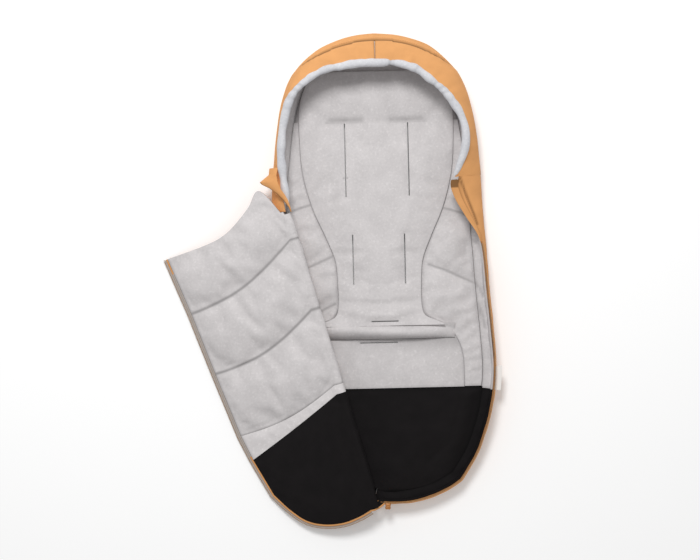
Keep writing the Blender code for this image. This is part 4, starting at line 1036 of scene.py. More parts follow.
def make_seat_pad():
    """Fleece seat panel, puffed between its edges and its stitched harness slits."""
    ys = np.linspace(SEAT_FOOT_Y, SEAT_HEAD_Y, 118)
    grid = plan_grid(ys, lambda y: -middle_half(y), middle_half, 68,
                     FLOOR_TOP + SEAT_EDGE_LIFT)
    shoulders = [((side * SHOULDER_SLIT_X, SHOULDER_SLIT_YS[0]),
                  (side * SHOULDER_SLIT_X, SHOULDER_SLIT_YS[1])) for side in (-1, 1)]
    cross_y = SHOULDER_SLIT_YS[1] + CROSS_OFFSET
    crosses = [((side * SHOULDER_CROSS_XS[0], cross_y), (side * SHOULDER_CROSS_XS[1], cross_y))
               for side in (-1, 1)]
    waists = [((side * WAIST_SLIT_X, WAIST_SLIT_YS[0]), (side * WAIST_SLIT_X, WAIST_SLIT_YS[1]))
              for side in (-1, 1)]
    crotch = [((CROTCH_SLIT_XS[0], CROTCH_SLIT_Y), (CROTCH_SLIT_XS[1], CROTCH_SLIT_Y))]
    grid[:, :, 2] += BOLSTER_STEP * fading(grid[:, :, 1] - SEAT_FOOT_Y,
                                            BOLSTER_STEP_REACH)
    start = grid.copy()
    start[:, :, 2] += (SEAT_MIDDLE_LIFT
                       * (1 - fading(path_distance(grid, crosses[0]), CROSS_REACH))
                       * (1 - fading(path_distance(grid, crosses[1]), CROSS_REACH)))
    held = edges_held(grid) | near(grid, crosses, 0.0028)
    rise = puff_height(grid, start, held, SEAT_SLACK, SEAT_PUFF)
    dips = SLIT_DIP * seam_shade(grid, shoulders + waists + crotch, 0.007)
    rise = rise - dips + 0.0007 * ripple(grid, 0.05, 1)
    top = finer(raised(grid, rise))
    along = (top[:, :, 1] - SEAT_FOOT_Y) / (SEAT_HEAD_Y - SEAT_FOOT_Y)
    # Painted shade along the panel's edges, in the slits and their cross seams, and a wider
    # painted shadow in the hollows above the cross seams; the bartack is a dark thread tick.
    shade = border_shade(top, 0.0024) * np.clip(0.30 - 0.3 * along, 0.08, 0.30)
    shade *= 1 - fading(along, 0.03)
    shade = np.maximum(shade, 0.7 * seam_shade(top, [BARTACK], 0.0016))
    painted_shade_hollows = [((first[0] * 0.9, first[1] + 0.005), (last[0] * 0.9, last[1] + 0.005))
               for first, last in crosses]
    shade = np.maximum(shade, 0.36 * seam_shade(top, crosses, 0.0022))
    shade = np.maximum(shade, 0.40 * seam_shade(top, painted_shade_hollows, 0.0065))
    shade = np.maximum(shade, 0.35 * seam_shade(top, shoulders + waists + crotch, 0.0018))
    piece = pad_on_back("seat_pad", top, "fleece", shade)
    cut_slits(piece, SEAT_SLITS)
    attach(piece, "back")
    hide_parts("seat_panel")


BOLSTER_HALF_WIDTH = 0.151
BOLSTER_SHIFT = 0.002
BOLSTER_LAP = 0.004
BOLSTER_EDGE = 0.0015
BOLSTER_HEIGHT = 0.0235


def make_crotch_bolster():
    """Padded roll across the foot of the seat, with a steep side to the toe. It starts as
    high as the seat panel's step, and tapers to both ends."""
    head_y = SEAT_FOOT_Y + BOLSTER_LAP
    shares = np.linspace(-1.0, 1.0, 90)
    turns = np.linspace(0.0, 1.0, 22)
    upper = np.empty((len(shares), len(turns), 3))
    for i, share in enumerate(shares):
        size = max(0.0, 1 - abs(share) ** 2.6) ** 0.8 * 0.94 + 0.06
        lean = -0.004 * math.sin(2.2 * share + 0.4)
        for j, turn in enumerate(turns):
            arch = math.sin(math.pi * turn ** 0.85) ** 0.55 if 0 < turn < 1 else 0.0
            start = (BOLSTER_STEP + 0.0016) * max(0.0, 1 - turn / 0.5)
            y = head_y - (head_y - ROLL_FOOT_Y) * turn
            upper[i, j] = (BOLSTER_HALF_WIDTH * share - BOLSTER_SHIFT, y + lean * arch,
                           FLOOR_TOP + BOLSTER_EDGE + max(start, BOLSTER_HEIGHT * arch * size))
    upper[:, :, 2] += 0.0012 * ripple(upper, 0.022, 4) * (upper[:, :, 2] > FLOOR_TOP + 0.004)
    # Painted shade on its steep side to the toe, which turns from the lamp.
    shade = np.tile(np.clip((turns - 0.62) / 0.38, 0.0, 1.0) ** 1.5 * 0.40, (len(shares), 1))
    piece = pad_on_back("crotch_bolster", upper, "fleece", shade)
    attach(piece, "back")
    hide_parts("crotch_roll")


LEG_EDGE_LIFT = 0.0022
LEG_SLACK = 0.006
LEG_PUFF = 0.006


def make_leg_pad():
    """Fleece panel between the bolster and the black foot."""
    ys = np.linspace(LEG_FOOT_Y, ROLL_FOOT_Y - 0.0008, 26)
    grid = plan_grid(ys, lambda y: -min(middle_half(y), base_half(y, -1) - 0.004),
                     middle_half, 66, FLOOR_TOP + LEG_EDGE_LIFT)
    slit = [((LEG_SLIT_XS[0], LEG_SLIT_Y), (LEG_SLIT_XS[1], LEG_SLIT_Y))]
    rise = puff_height(grid, grid, edges_held(grid), LEG_SLACK, LEG_PUFF) * 0.8
    top = finer(raised(grid, rise - 0.0015 * seam_shade(grid, slit, 0.006)))
    # Painted shade along its edges and in its slit, and a painted shadow of the bolster over its
    # head end, darker to the right.
    shade = np.maximum(0.30 * border_shade(top, 0.003), 0.5 * seam_shade(top, slit, 0.002))
    fall = fading(top[:, :, 1] - ROLL_FOOT_Y, 0.020)
    shade = np.maximum(shade, fall * np.clip(0.30 + 1.6 * top[:, :, 0], 0.16, 0.50))
    piece = pad_on_back("leg_pad", top, "fleece", shade)
    cut_slits(piece, LEG_SLITS)
    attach(piece, "back")
    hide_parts("leg_panel")


FOOT_EDGE_LIFT = 0.0016
FOOT_LAP = 0.0012
FOOT_TOE_LAP = 0.0030
FOOT_CREASE_X = 0.125
FOOT_CREASE = ((0.163, -0.244), (0.147, -0.302), (0.133, -0.349), (0.092, -0.386))


def make_foot_mat():
    """Black fabric under the feet; it laps a little further at the toe's left."""
    ys = np.linspace(FLOOR_TOE_Y - FOOT_TOE_LAP, LEG_FOOT_Y - PANEL_GAP, 50)

    def low_edge(y):
        lap = FOOT_TOE_LAP * math.exp(-((y - FLOOR_TOE_Y) / 0.010) ** 2)
        return -base_half(y, -1) - FOOT_LAP - lap

    grid = plan_grid(ys, low_edge, lambda y: base_half(y, 1) + FOOT_LAP, 70,
                     FLOOR_TOP + FOOT_EDGE_LIFT)
    rise = 0.0022 * ripple(grid, 0.060, 9) + 0.0008 * ripple(grid, 0.022, 10)
    gap = path_distance(grid, FOOT_CREASE)
    outside = 1 / (1 + np.exp(-(grid[:, :, 0] - FOOT_CREASE_X) / 0.010))
    rise += 0.0045 * outside * fading(gap, 0.035) - 0.0012 * fading(gap, 0.006)
    edge = np.minimum(1.0, 1.0 - border_shade(grid, 0.010))
    top = raised(grid, np.maximum(rise, -0.0012) * edge)
    # Painted shade along its edges.
    piece = pad_on_back("foot_mat", top, "black", border_shade(grid, 0.004))
    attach(piece, "back")
    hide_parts("foot_panel")
    sewn_sheet(grid)


FLANK_EDGE_LIFT = 0.0035
FLANK_SLACK = 0.05
FLANK_PUFF = 0.015
FLANK_GAP = 0.0008
FLANK_LEAST_WIDTH = 0.006


def make_flank(side, word, foot_y, seams):
    """Quilted gusset between the middle panels and the side wall."""
    ys = np.linspace(foot_y, FLANK_HEAD_Y, round((FLANK_HEAD_Y - foot_y) / PAD_CELL))

    def inner(y):
        return side * (middle_half(y) + FLANK_GAP)

    def outer(y):
        edge = abs(base_half(y, side)) - 0.0012
        return side * max(edge, middle_half(y) + FLANK_LEAST_WIDTH)

    grid = plan_grid(ys, inner, outer, 24, FLOOR_TOP + FLANK_EDGE_LIFT)
    held = edges_held(grid) | near(grid, seams, SEAM_HOLD)
    rise = puff_height(grid, grid, held, FLANK_SLACK, FLANK_PUFF)
    rise = rise + 0.0010 * ripple(grid, 0.03, 3 + side) * ~edges_held(grid)
    top = finer(raised(grid, rise))
    # Painted shade along its border and in its quilting seams.
    shade = np.maximum(0.26 * border_shade(top, 0.003), 0.62 * seam_shade(top, seams, 0.0024))
    piece = pad_on_back("flank_pad_" + word, top, "fleece", shade)
    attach(piece, "back")
    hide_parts("flank_" + word)


def layer(points, normals, depths):
    """A grid at a depth, or a grid of depths, under the wall's outer surface."""
    return points - normals * np.broadcast_to(depths, points.shape[:2])[..., None]


def make_wall_outer(name, places, node, creases, seed):
    """Outer fabric of one stretch of the wall, with soft creases. They fade out towards
    its foot, so that it stays off the ground."""
    points, normals = (finer(grid) for grid in wall_grid(places, WALL_RISES))
    soft = 0.0013 * ripple(points, 0.05, seed) + 0.0006 * ripple(points, 0.018, seed + 1)
    soft = np.minimum(soft - 0.0004, 0.0012)
    foot_fade = np.minimum(1.0, np.arange(points.shape[1]) / 8.0)
    depths = np.zeros(points.shape[:2]) - soft * foot_fade[None, :]
    shade = np.zeros(points.shape[:2])
    top = np.arange(points.shape[1]) > points.shape[1] * 0.6
    # Painted shade in the creases, by their strength, and along the top edge.
    for path, depth, width, strength in creases:
        fall = fading(path_distance(points, path), width) * top[None, :]
        depths += depth * fall
        shade = np.maximum(shade, strength * fall)
    across = grid_lengths(points, 1)
    edge = fading(across[-1] - across, 0.0018)[None, :]
    shade = np.maximum(shade, 0.6 * edge)
    outer = layer(points, normals, depths)
    inner = layer(outer, normals, SHELL_THICKNESS)
    inner[:, :, 2] = np.maximum(inner[:, :, 2], GROUND_CLEAR)
    piece = slab(name, outer, inner, LOOKS["outer"], shade)
    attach(piece, "back")
    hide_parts(node)
    sewn_sheet(points)


def make_wall_inner(name, places, look, nodes, slack, seams, creases, seed):
    """Lining of one stretch of the wall with its wadding, puffed between its seams."""
    points, normals = wall_grid(places, WALL_RISES)
    depths = np.array([[wall_depth(place, rise) for rise in WALL_RISES] for place in places])
    start = layer(points, normals, depths)
    held = edges_held(depths) | near(start, seams, SEAM_HOLD)
    puffed = billow(start, held, -normals, slack)
    puff = np.clip(((puffed - start) * -normals).sum(-1), 0.0, WALL_PUFF)
    depths = depths + puff + 0.0012 * ripple(start, 0.035, seed) * ~held
    # Painted shade along its border, in its creases and in its quilting seams.
    shade = 0.24 * border_shade(start, 0.0035)
    for path, depth, width in creases:
        gap = path_distance(start, path)
        depths -= depth * fading(gap, width) * ~edges_held(depths)
        shade = np.maximum(shade, 0.42 * fading(gap, width * 0.5))
    shade = np.maximum(shade, 0.8 * seam_shade(start, seams, 0.0028))
    depths = np.maximum(depths, LINING_BACK + LEAST_LINING)
    inner = finer(layer(points, normals, depths))
    outer = finer(layer(points, normals, LINING_BACK))
    piece = slab(name, outer, inner, LOOKS[look], finer(shade[..., None])[..., 0])
    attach(piece, "back")
    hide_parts(*nodes)


def wall_places(first, last, pitch=PAD_CELL):
    """Places along the outline, a pitch apart."""
    return steps(first, last, max(4, round(abs(last - first) * OUTLINE_LENGTH / pitch)))


# Wall: rises of its rows, most puff and least thickness of its lining, then its creases as (path,
# depth, width), those of the outer fabric with the strength of their painted shade too
WALL_RISES = [i / 21 for i in range(22)]
WALL_PUFF = 0.012
FOOT_SLACK = 0.010
LEAST_LINING = 0.0012
# Folds of the placket: a dark crease, then the painted shade of its open upper end.
PLACKET_FOLDS = (
    (((0.1633, 0.1822), (0.1708, 0.1601), (0.1802, 0.1358), (0.1896, 0.1116),
      (0.1971, 0.0874)), 0.0009, 0.0028, 0.82),
    (((0.1560, 0.1820), (0.1572, 0.1780), (0.1590, 0.1720)), 0.0006, 0.0058, 0.98),
)
RIGHT_CREASES = (
    (((0.150, 0.050), (0.178, 0.060), (0.196, 0.052)), 0.0020, 0.007),
    (((0.186, -0.060), (0.202, -0.085), (0.210, -0.120)), 0.0020, 0.006),
    (((0.182, -0.022), (0.190, -0.060), (0.188, -0.110), (0.180, -0.160)), 0.0026, 0.005),
    (((0.190, -0.026), (0.202, -0.042), (0.208, -0.058)), 0.0024, 0.005),
)
LEFT_CREASES = (
    (((-0.190, 0.070), (-0.160, 0.062), (-0.140, 0.070)), 0.0035, 0.007),
    (((-0.165, -0.050), (-0.135, -0.040), (-0.110, -0.046)), 0.0030, 0.006),
)
FOOT_CREASES = (
    (((0.080, -0.395), (0.105, -0.360), (0.140, -0.345)), 0.0020, 0.009),
    (((0.020, -0.445), (0.070, -0.430), (0.120, -0.400)), 0.0020, 0.008),
)


def make_right_wall():
    """Right side wall: outer fabric, grey lining and the black lining of the foot."""
    make_wall_outer("right_wall_outer", wall_places(HOOD_RIGHT_SHARE, TOE_SEAM_SHARE),
                    "right_wall_shell", PLACKET_FOLDS, 11)
    make_wall_inner("right_lining", wall_places(HOOD_RIGHT_SHARE + 0.001, FOOT_SEAM_SHARE),
                    "fleece", ("right_wall_wadding", "right_wall_lining"), 0.035,
                    RIGHT_SEAMS, RIGHT_CREASES, 21)
    make_wall_inner("right_foot", wall_places(FOOT_SEAM_SHARE + 0.0008, TOE_SEAM_SHARE),
                    "black", ("right_foot_wadding", "right_foot_lining"), FOOT_SLACK,
                    (), FOOT_CREASES, 23)


def make_left_wall():
    """Left side, slack under the fold: outer fabric and its two linings."""
    toe, head = TOE_SEAM_SHARE - 2, -HOOD_LEFT_SHARE
    make_wall_outer("left_wall_outer", wall_places(toe + 0.0006, head - 0.0006),
                    "left_panel_shell", (), 13)
    make_wall_inner("left_foot", wall_places(toe + 0.001, -FOOT_SEAM_SHARE - 0.0008), "black",
                    ("left_foot_wadding", "left_foot_lining"), FOOT_SLACK, (), (), 25)
    make_wall_inner("left_lining", wall_places(-FOOT_SEAM_SHARE, head - 0.001), "fleece",
                    ("left_panel_wadding", "left_panel_lining"), 0.030, LEFT_SEAMS,
                    LEFT_CREASES, 27)


# Crescent of the hood's back layer that shows above its band, then the band: its rises,
# which end above the wall's edge against the rim, and its gathers
CRESCENT_WIDTH = 0.0165
BAND_GAP = 0.006
BAND_TOP = 1.055
BAND_ROWS = 20
GATHER_SIZE = 0.016
GATHER_DEPTH = 0.0026
CRESCENT_SHARES = ((0.0, 1.0), (0.07, 1.0), (0.10, 0.90), (0.13, 0.45), (0.16, 0.0), (0.40, 0.0))


def band_seam(place):
    """Rise of the seam between the hood's back layer and its band: where the wall has
    turned in by the width of the crescent that shows above the band."""
    controls = wall_controls(place)
    out = outline_normal(place)
    reaches = [(bezier(controls, rise) - controls[0]).dot(out) for rise in steps(0.0, 1.0, 60)]
    most = max(reaches)
    inset = CRESCENT_WIDTH * follow(CRESCENT_SHARES, abs(place))
    index = reaches.index(most)
    while index < 60 and most - reaches[index] < inset:
        index += 1
    return max(0.50, index / 60)


def wander(lengths, size, row, seed):
    """Smooth noise along a path, with waves of one size."""
    return np.array([noise.noise(Vector((length / size, row, seed))) for length in lengths])


def gathers(lengths, rises, seed):
    """Depths of small folds that run down from the rim's seam and fade out."""
    wave = wander(lengths, GATHER_SIZE, 0.0, seed)
    fade = np.clip((np.array(rises) - 0.70) / 0.30, 0.0, 1.0) ** 1.5
    return wave[:, None] * fade[None, :] * GATHER_DEPTH


def make_hood_outer():
    """Outer fabric of the hood: the back layer and the two halves of its band."""
    places = wall_places(-HOOD_LEFT_SHARE, HOOD_RIGHT_SHARE)
    points, normals = wall_grid(places, lambda place: np.linspace(0.0, band_seam(place), 14))
    depths = -0.0008 * ripple(points, 0.045, 31) * (np.arange(14) > 1)
    across = grid_lengths(points, 1)
    # Painted shadow along the top edge, under the band's lower edge.
    edge = fading(across[-1] - across, 0.0016)[None, :] * np.ones(depths.shape)
    outer = layer(points, normals, depths + 0.0012 * edge)
    inner = layer(outer, normals, SHELL_THICKNESS)
    inner[:, :, 2] = np.maximum(inner[:, :, 2], GROUND_CLEAR)
    piece = slab("hood_back_outer", outer, inner, LOOKS["outer"], edge)
    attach(piece, "back")
    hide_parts("hood_back")
    sewn_sheet(points)
    for word, first, last in (("left", -HOOD_LEFT_SHARE, -0.0006),
                              ("right", 0.0006, HOOD_RIGHT_SHARE)):
        make_band(word, wall_places(first, last))


def make_band(word, places):
    """One half of the hood's front band, puckered at the rim."""
    points, normals = wall_grid(
        places, lambda place: np.linspace(band_seam(place) + BAND_GAP, BAND_TOP, BAND_ROWS))
    shares = np.linspace(0.0, 1.0, BAND_ROWS)
    depths = -0.0010 * ripple(points, 0.040, 33) * np.minimum(1.0, shares * 5)
    lengths = np.array(places) * OUTLINE_LENGTH
    depths += gathers(lengths, 0.6 + 0.4 * shares, 5.0)
    sewn = fading(lengths, 0.0035)[:, None]
    edge = fading(shares * 0.05, 0.0018)[None, :]
    depths += 0.0014 * np.maximum(sewn, edge)
    # Painted shade in the centre seam, and a painted shadow along the lower edge, where the band
    # overhangs the back layer.
    shade = np.maximum(0.8 * fading(lengths, 0.0012)[:, None], 0.95 * edge)
    ends = np.minimum(1.0, (HOOD_RIGHT_SHARE - np.array(places)) * OUTLINE_LENGTH / 0.015)
    depths -= 0.0012 * ends[:, None]
    outer = layer(points, normals, depths)
    piece = slab("hood_band_" + word + "_outer", outer,
                 layer(outer, normals, SHELL_THICKNESS * 1.6), LOOKS["outer"],
                 shade * np.ones(points.shape[:2]))
    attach(piece, "back")
    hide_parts("hood_band_" + word)
    sewn_sheet(points)


def make_hood_inner():
    """Fleece lining inside the hood, with its wadding."""
    # Its fleece is the lining's, painted lighter as painted light.
    make_wall_inner("hood_inner", wall_places(-HOOD_LEFT_SHARE + 0.001, HOOD_RIGHT_SHARE),
                    "hood", ("hood_wadding_left", "hood_wadding_right", "hood_lining"), 0.012,
                    (), (), 35)


def rim_frame(place):
    """Centre of the rim roll and its two directions: along the wall's slope and outwards."""
    point, normal, slope = wall_frame(place, 1.0)
    centre = point - normal * wall_depth(place, 1.0) / 2 + slope * (RIM_RADIUS + RIM_GAP)
    return centre, slope, normal


# Folds across the rim: place along the outline in metres from the middle of the head,
# negative to the left, then depth as a share of the radius, and width
RIM_FOLDS = (
    (0.041, 0.24, 0.0030), (0.050, 0.10, 0.0022), (-0.205, 0.16, 0.0030),
    (-0.221, 0.13, 0.0026), (-0.238, 0.14, 0.0030), (-0.262, 0.10, 0.0034),
    (-0.110, 0.08, 0.0040), (0.120, 0.08, 0.0034), (0.188, 0.13, 0.0028),
    (0.205, 0.15, 0.0028), (0.222, 0.12, 0.0026), (0.243, 0.10, 0.0030),
)
RIM_SIDES = 32


def make_rim():
    """Rolled fleece rim of the hood, pinched in one place and folded at both sides."""
    places = wall_places(-HOOD_LEFT_SHARE + 0.012, RIM_RIGHT_SHARE + 0.016, 0.0024)
    frames = [rim_frame(place) for place in places]
    centres, slopes, normals = (np.array(vectors) for vectors in zip(*frames))
    lengths = np.array(places) * OUTLINE_LENGTH
    ends = np.minimum(lengths - lengths[0], lengths[-1] - lengths)
    radii = chosen().rim_radius * (0.40 + 0.52 * np.minimum(1.0, ends / 0.030) ** 0.5)
    pinch = np.zeros(len(places))
    for place, depth, width in RIM_FOLDS:
        pinch += 0.75 * depth * fading(lengths - place, 1.5 * width)
    soft = wander(lengths, 0.03, 4.0, 0.0)
    radii = radii * (1 - pinch) * (1 + 0.30 * soft)
    rings = round_rings(centres, slopes, normals, radii, RIM_SIDES)
    lumps = 0.24 * ripple(rings, 0.034, 41) + 0.02 * ripple(rings, 0.012, 43)
    outward = rings - centres[:, None]
    rings = centres[:, None] + outward * (1 + lumps)[..., None]
    # Painted shade in the folds, by their depth.
    shade = np.tile((pinch * 2.2)[:, None], (1, RIM_SIDES))
    piece = roll("rim_roll", rings, LOOKS["rim"], shade)
    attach(piece, "back")
    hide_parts("hood_rim")


def chosen():
    """The sizes and colours set in the panel."""
    return bpy.context.scene.footmuff


# Quilt's columns: those round the fold roll, those of the whole fold strip, and the rest.
# From the roll it takes some more until the quilt moves sideways and puffs up in full.
FOLD_TURN_COLUMNS = 12
FOLD_COLUMNS = 15
QUILT_COLUMNS = 50
LOOSE_COLUMNS = 5.0
PUFF_COLUMNS = 9.0
FOLD_SLOPE_REACH = 0.016
FOLD_END_RADIUS = 0.0045


def cover_rows(first, last, pitch=PAD_CELL):
    """Row numbers of the cover, a pitch apart, each whole number among them."""
    rows = []
    for row in range(first, last):
        near_length = cover_row(row + 1)[0] - cover_row(row)[0]
        far_length = cover_row(row + 1)[1] - cover_row(row)[1]
        count = max(3, round(max(near_length, far_length) / pitch))
        rows += [row + k / count for k in range(count)]
    return np.array(rows + [float(last)])


def fold_radius(along):
    """Radius of the lining over the fold roll, smaller at the toe's end."""
    share = min(1.0, max(0.0, (along + 0.012) / 0.060))
    last = cover_row(len(COVER_ROW_SHARES) - 1)[0]
    share *= min(1.0, 0.25 + max(0.0, (last - along) / 0.030)) ** 0.5
    return FOLD_END_RADIUS + (FOLD_SKIN_RADIUS - FOLD_END_RADIUS) * share


def quilt_grid(rows):
    """Start of the quilt in the cover's frame: up over the fold roll, then over the cover."""
    angles = np.radians(np.linspace(255.0, 90.0, FOLD_TURN_COLUMNS))
    points = np.empty((len(rows), FOLD_COLUMNS + QUILT_COLUMNS, 3))
    start = cover_point(0, 0.0)[1]
    beyond = np.linspace(0.0, start, FOLD_COLUMNS - FOLD_TURN_COLUMNS + 1)[1:]
    for i, row in enumerate(rows):
        along = cover_row(row)[0]
        radius = fold_radius(along)
        points[i, :FOLD_COLUMNS, 0] = along
        points[i, :FOLD_TURN_COLUMNS, 1] = radius * np.cos(angles)
        points[i, :FOLD_TURN_COLUMNS, 2] = radius * np.sin(angles)
        points[i, FOLD_TURN_COLUMNS:FOLD_COLUMNS, 1] = beyond
        for j, across in enumerate(np.linspace(0.012, 1.0, QUILT_COLUMNS)):
            points[i, FOLD_COLUMNS + j] = cover_point(row, across)
    reach = points[:, FOLD_TURN_COLUMNS:, 1]
    tops = np.array([fold_radius(cover_row(row)[0]) for row in rows])[:, None]
    slope = (tops - COVER_EDGE_HEIGHT) * fading(reach, FOLD_SLOPE_REACH)
    points[:, FOLD_TURN_COLUMNS:, 2] = COVER_EDGE_HEIGHT + slope
    return points


def cover_up(points):
    """Outward directions of a quilt grid: its own normals."""
    normals = grid_normals(points)
    if normals[:, FOLD_COLUMNS:, 2].sum() < 0:
        normals = -normals
    return normals


def seam_dents(rows, seam_rows):
    """How much each row is drawn in by a seam close to it, from 0 to 1."""
    dents = np.zeros(len(rows))
    for row in seam_rows:
        dents = np.maximum(dents, fading(rows - row, 0.05))
    return dents


def quilt(rows, seam_rows, slack, seed, cap):
    """Simulated quilt over the fold and the cover, with painted shade in its seams and along its
    far edge.
    """
    start = quilt_grid(rows)
    held = edges_held(start)
    for row in seam_rows:
        held[np.argmin(abs(rows - row))] = True
    up = cover_up(start)
    puffed = billow(start, held, up, slack)
    columns = np.arange(start.shape[1])
    caps = cap * np.clip((columns - FOLD_TURN_COLUMNS) / PUFF_COLUMNS, 0.07, 1.0)
    moved = puffed - start
    outward = (moved * up).sum(-1)
    lift = np.clip(outward, 0.0, caps[None, :])
    side = moved - outward[..., None] * up
    loose = np.clip((columns - FOLD_TURN_COLUMNS) / LOOSE_COLUMNS, 0.0, 1.0)[None, :]
    result = start + up * lift[..., None] + 0.6 * side * loose[..., None]
    result += up * (0.0011 * ripple(start, 0.035, seed) * ~held * loose)[..., None]
    result[:, :, 2] = np.where(held, start[:, :, 2], result[:, :, 2])
    result -= up * (0.0006 * (1 - loose) * seam_dents(rows, seam_rows)[:, None])[..., None]
    lengths = grid_lengths(start, 0)
    # Painted shade in the quilting seams and along the far edge.
    shade = np.zeros(start.shape[:2])
    for row in seam_rows:
        at = lengths[np.argmin(abs(rows - row))]
        shade = np.maximum(shade, 0.85 * fading(lengths - at, 0.0026)[:, None])
    across = grid_lengths(start, 1)
    shade = np.maximum(shade, 0.6 * fading(across - across[-1], 0.003)[None, :])
    return finer(result), finer(shade[..., None])[..., 0]


def fold_core(upper):
    """Inner side of a fold strip: the same grid drawn in to the roll's core."""
    plan = upper.copy()
    reach = np.linalg.norm(plan[:, :, 1:], axis=2, keepdims=True)
    plan[:, :, 1:] *= np.minimum(FOLD_CORE_RADIUS / np.maximum(reach, 1e-6), 0.7)
    return plan


def make_quilt(name, rows, seam_rows, slack, look, nodes, seed, cap):
    """One stretch of the cover's lining: a piece that rides on the cover, and a strip over the
    fold roll."""
    grid, shade = quilt(rows, seam_rows, slack, seed, cap)
    cut = 2 * FOLD_COLUMNS
    upper = grid[:, cut:]
    lower = upper.copy()
    lower[:, :, 2] = np.minimum(0.0, upper[:, :, 2] - 0.001)
    piece = slab("cover_" + name, from_cover(upper), from_cover(lower), LOOKS[look],
                 shade[:, cut:])
    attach(piece, "cover")
    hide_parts(*nodes)
    strip = grid[:, :cut + 1]
    band = slab("fold_" + name, from_cover(strip), from_cover(fold_core(strip)), LOOKS[look],
                shade[:, :cut + 1])
    ends = from_cover(np.array(((0.0, 0.0, 0.0001), (0.0, 0.0, 0.0011))))
    tuple(ends[0])
    tuple(ends[1])
    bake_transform(band)
    return band


def make_cover_lining():
    """Grey quilted channels, pale hem and black toe lining of the cover."""
    grey = make_quilt("channels", cover_rows(2, 5), (2, 3, 4), 0.045, "fleece",
                      ("cover_lining",), 51, 0.019)
    hem = make_quilt("hem", cover_rows(1, 2), (), 0.020, "pale", ("cover_hem",), 53, 0.008)
    toe = make_quilt("toe", cover_rows(0, 1), (), 0.006, "black",
                     ("cover_foot_lining", "cover_wadding"), 55, 0.006)
    for band in (grey, hem, toe):
        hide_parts("cover_lining")


def make_cover_outer():
    """Outer fabric of the cover, under the quilt while the cover lies open."""
    rows = cover_rows(0, 5, 0.008)
    points = np.array([[cover_point(row, across, -0.0004) for across in np.linspace(0, 1, 36)]
                       for row in rows])
    lower = points.copy()
    seams = np.minimum(abs(rows[:, None] - np.arange(6)[None, :]).min(-1), 0.5)
    lower[:, :, 2] = -0.0018
    # Painted shade at the seams between its rows.
    shade = np.tile(0.7 * fading(seams, 0.02)[:, None], (1, 36))
    upper, lower = from_cover(points), from_cover(lower)
    lower[:, :, 2] = np.maximum(lower[:, :, 2], GROUND_CLEAR)
    upper[:, :, 2] = np.maximum(upper[:, :, 2], lower[:, :, 2] + 0.0008)
    piece = slab("cover_outer", upper, lower, LOOKS["outer"], shade)
    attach(piece, "cover")
    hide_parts("cover_shell")
    sewn_sheet(points)
    make_outer_strip()


FOLD_STRIP_LENGTH = 0.596


def make_outer_strip():
    """Outer fabric rolled inside the fold: it shows once the lining has turned away."""
    alongs = np.linspace(0.000, FOLD_STRIP_LENGTH, 120)
    centres = np.zeros((len(alongs), 3))
    centres[:, 0] = alongs
    firsts = np.tile((0.0, 1.0, 0.0), (len(alongs), 1))
    seconds = np.tile((0.0, 0.0, 1.0), (len(alongs), 1))
    radii = np.array([fold_radius(along) - 0.0009 for along in alongs])
    piece = roll("fold_outer", from_cover(round_rings(centres, firsts, seconds, radii, 28)),
                 LOOKS["outer"])
    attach(piece, "back")
    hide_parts("fold_roll")


def bead_group():
    """Node group that lays rounded beads along the edges of a mesh: stitches and teeth."""
    tree = bpy.data.node_groups.new("beads_along", "GeometryNodeTree")
    tree.interface.new_socket("Path", in_out="INPUT", socket_type="NodeSocketGeometry")
    for label, start in (("Pitch", 0.004), ("Length", 0.003), ("Radius", 0.0004)):
        socket = tree.interface.new_socket(label, in_out="INPUT",
                                           socket_type="NodeSocketFloat")
        socket.default_value = start
        socket.subtype = "DISTANCE"
    tree.interface.new_socket("Look", in_out="INPUT", socket_type="NodeSocketMaterial")
    tree.interface.new_socket("Beads", in_out="OUTPUT", socket_type="NodeSocketGeometry")
    given = add_node(tree, "NodeGroupInput").outputs
    curve = add_node(tree, "GeometryNodeMeshToCurve", links={0: given["Path"]})
    points = add_node(tree, "GeometryNodeCurveToPoints", mode="LENGTH",
                      links={"Curve": curve.outputs[0], "Length": given["Pitch"]})
    half = add_node(tree, "ShaderNodeMath", {1: 2.0}, {0: given["Length"]},
                    operation="DIVIDE")
    scale = add_node(tree, "ShaderNodeCombineXYZ",
                     links={"X": given["Radius"], "Y": given["Radius"],
                            "Z": half.outputs[0]})
    bead = add_node(tree, "GeometryNodeMeshUVSphere", {"Segments": 8, "Rings": 6,
                                                       "Radius": 1.0})
    placed = add_node(tree, "GeometryNodeInstanceOnPoints",
                      links={"Points": points.outputs["Points"],
                             "Instance": bead.outputs["Mesh"],
                             "Rotation": points.outputs["Rotation"],
                             "Scale": scale.outputs[0]})
    real = add_node(tree, "GeometryNodeRealizeInstances", links={0: placed.outputs[0]})
    smooth = add_node(tree, "GeometryNodeSetShadeSmooth", links={0: real.outputs[0]})
    dressed = add_node(tree, "GeometryNodeSetMaterial",
                       links={"Geometry": smooth.outputs[0], "Material": given["Look"]})
    add_node(tree, "NodeGroupOutput", links={0: dressed.outputs[0]})
    return tree


def beads(name, paths, pitch, length, radius, look):
    """One mesh of beads laid along paths of points."""
    points = [tuple(point) for path in paths for point in path]
    edges = []
    start = 0
    for path in paths:
        edges += [(start + i, start + i + 1) for i in range(len(path) - 1)]
        start += len(path)
    mesh = bpy.data.meshes.new(name)
    mesh.from_pydata(points, edges, [])
    carrier = new_object(name, mesh)
    modifier = carrier.modifiers.new("beads", "NODES")
    modifier.node_group = bpy.data.node_groups.get("beads_along") or bead_group()
    values = {"Pitch": pitch, "Length": length, "Radius": radius, "Look": look}
    for item in modifier.node_group.interface.items_tree:
        if item.name in values:
            modifier[item.identifier] = values[item.name]
    carrier.update_tag()
    bpy.context.view_layer.update()
    apply_modifiers(carrier)
    return carrier


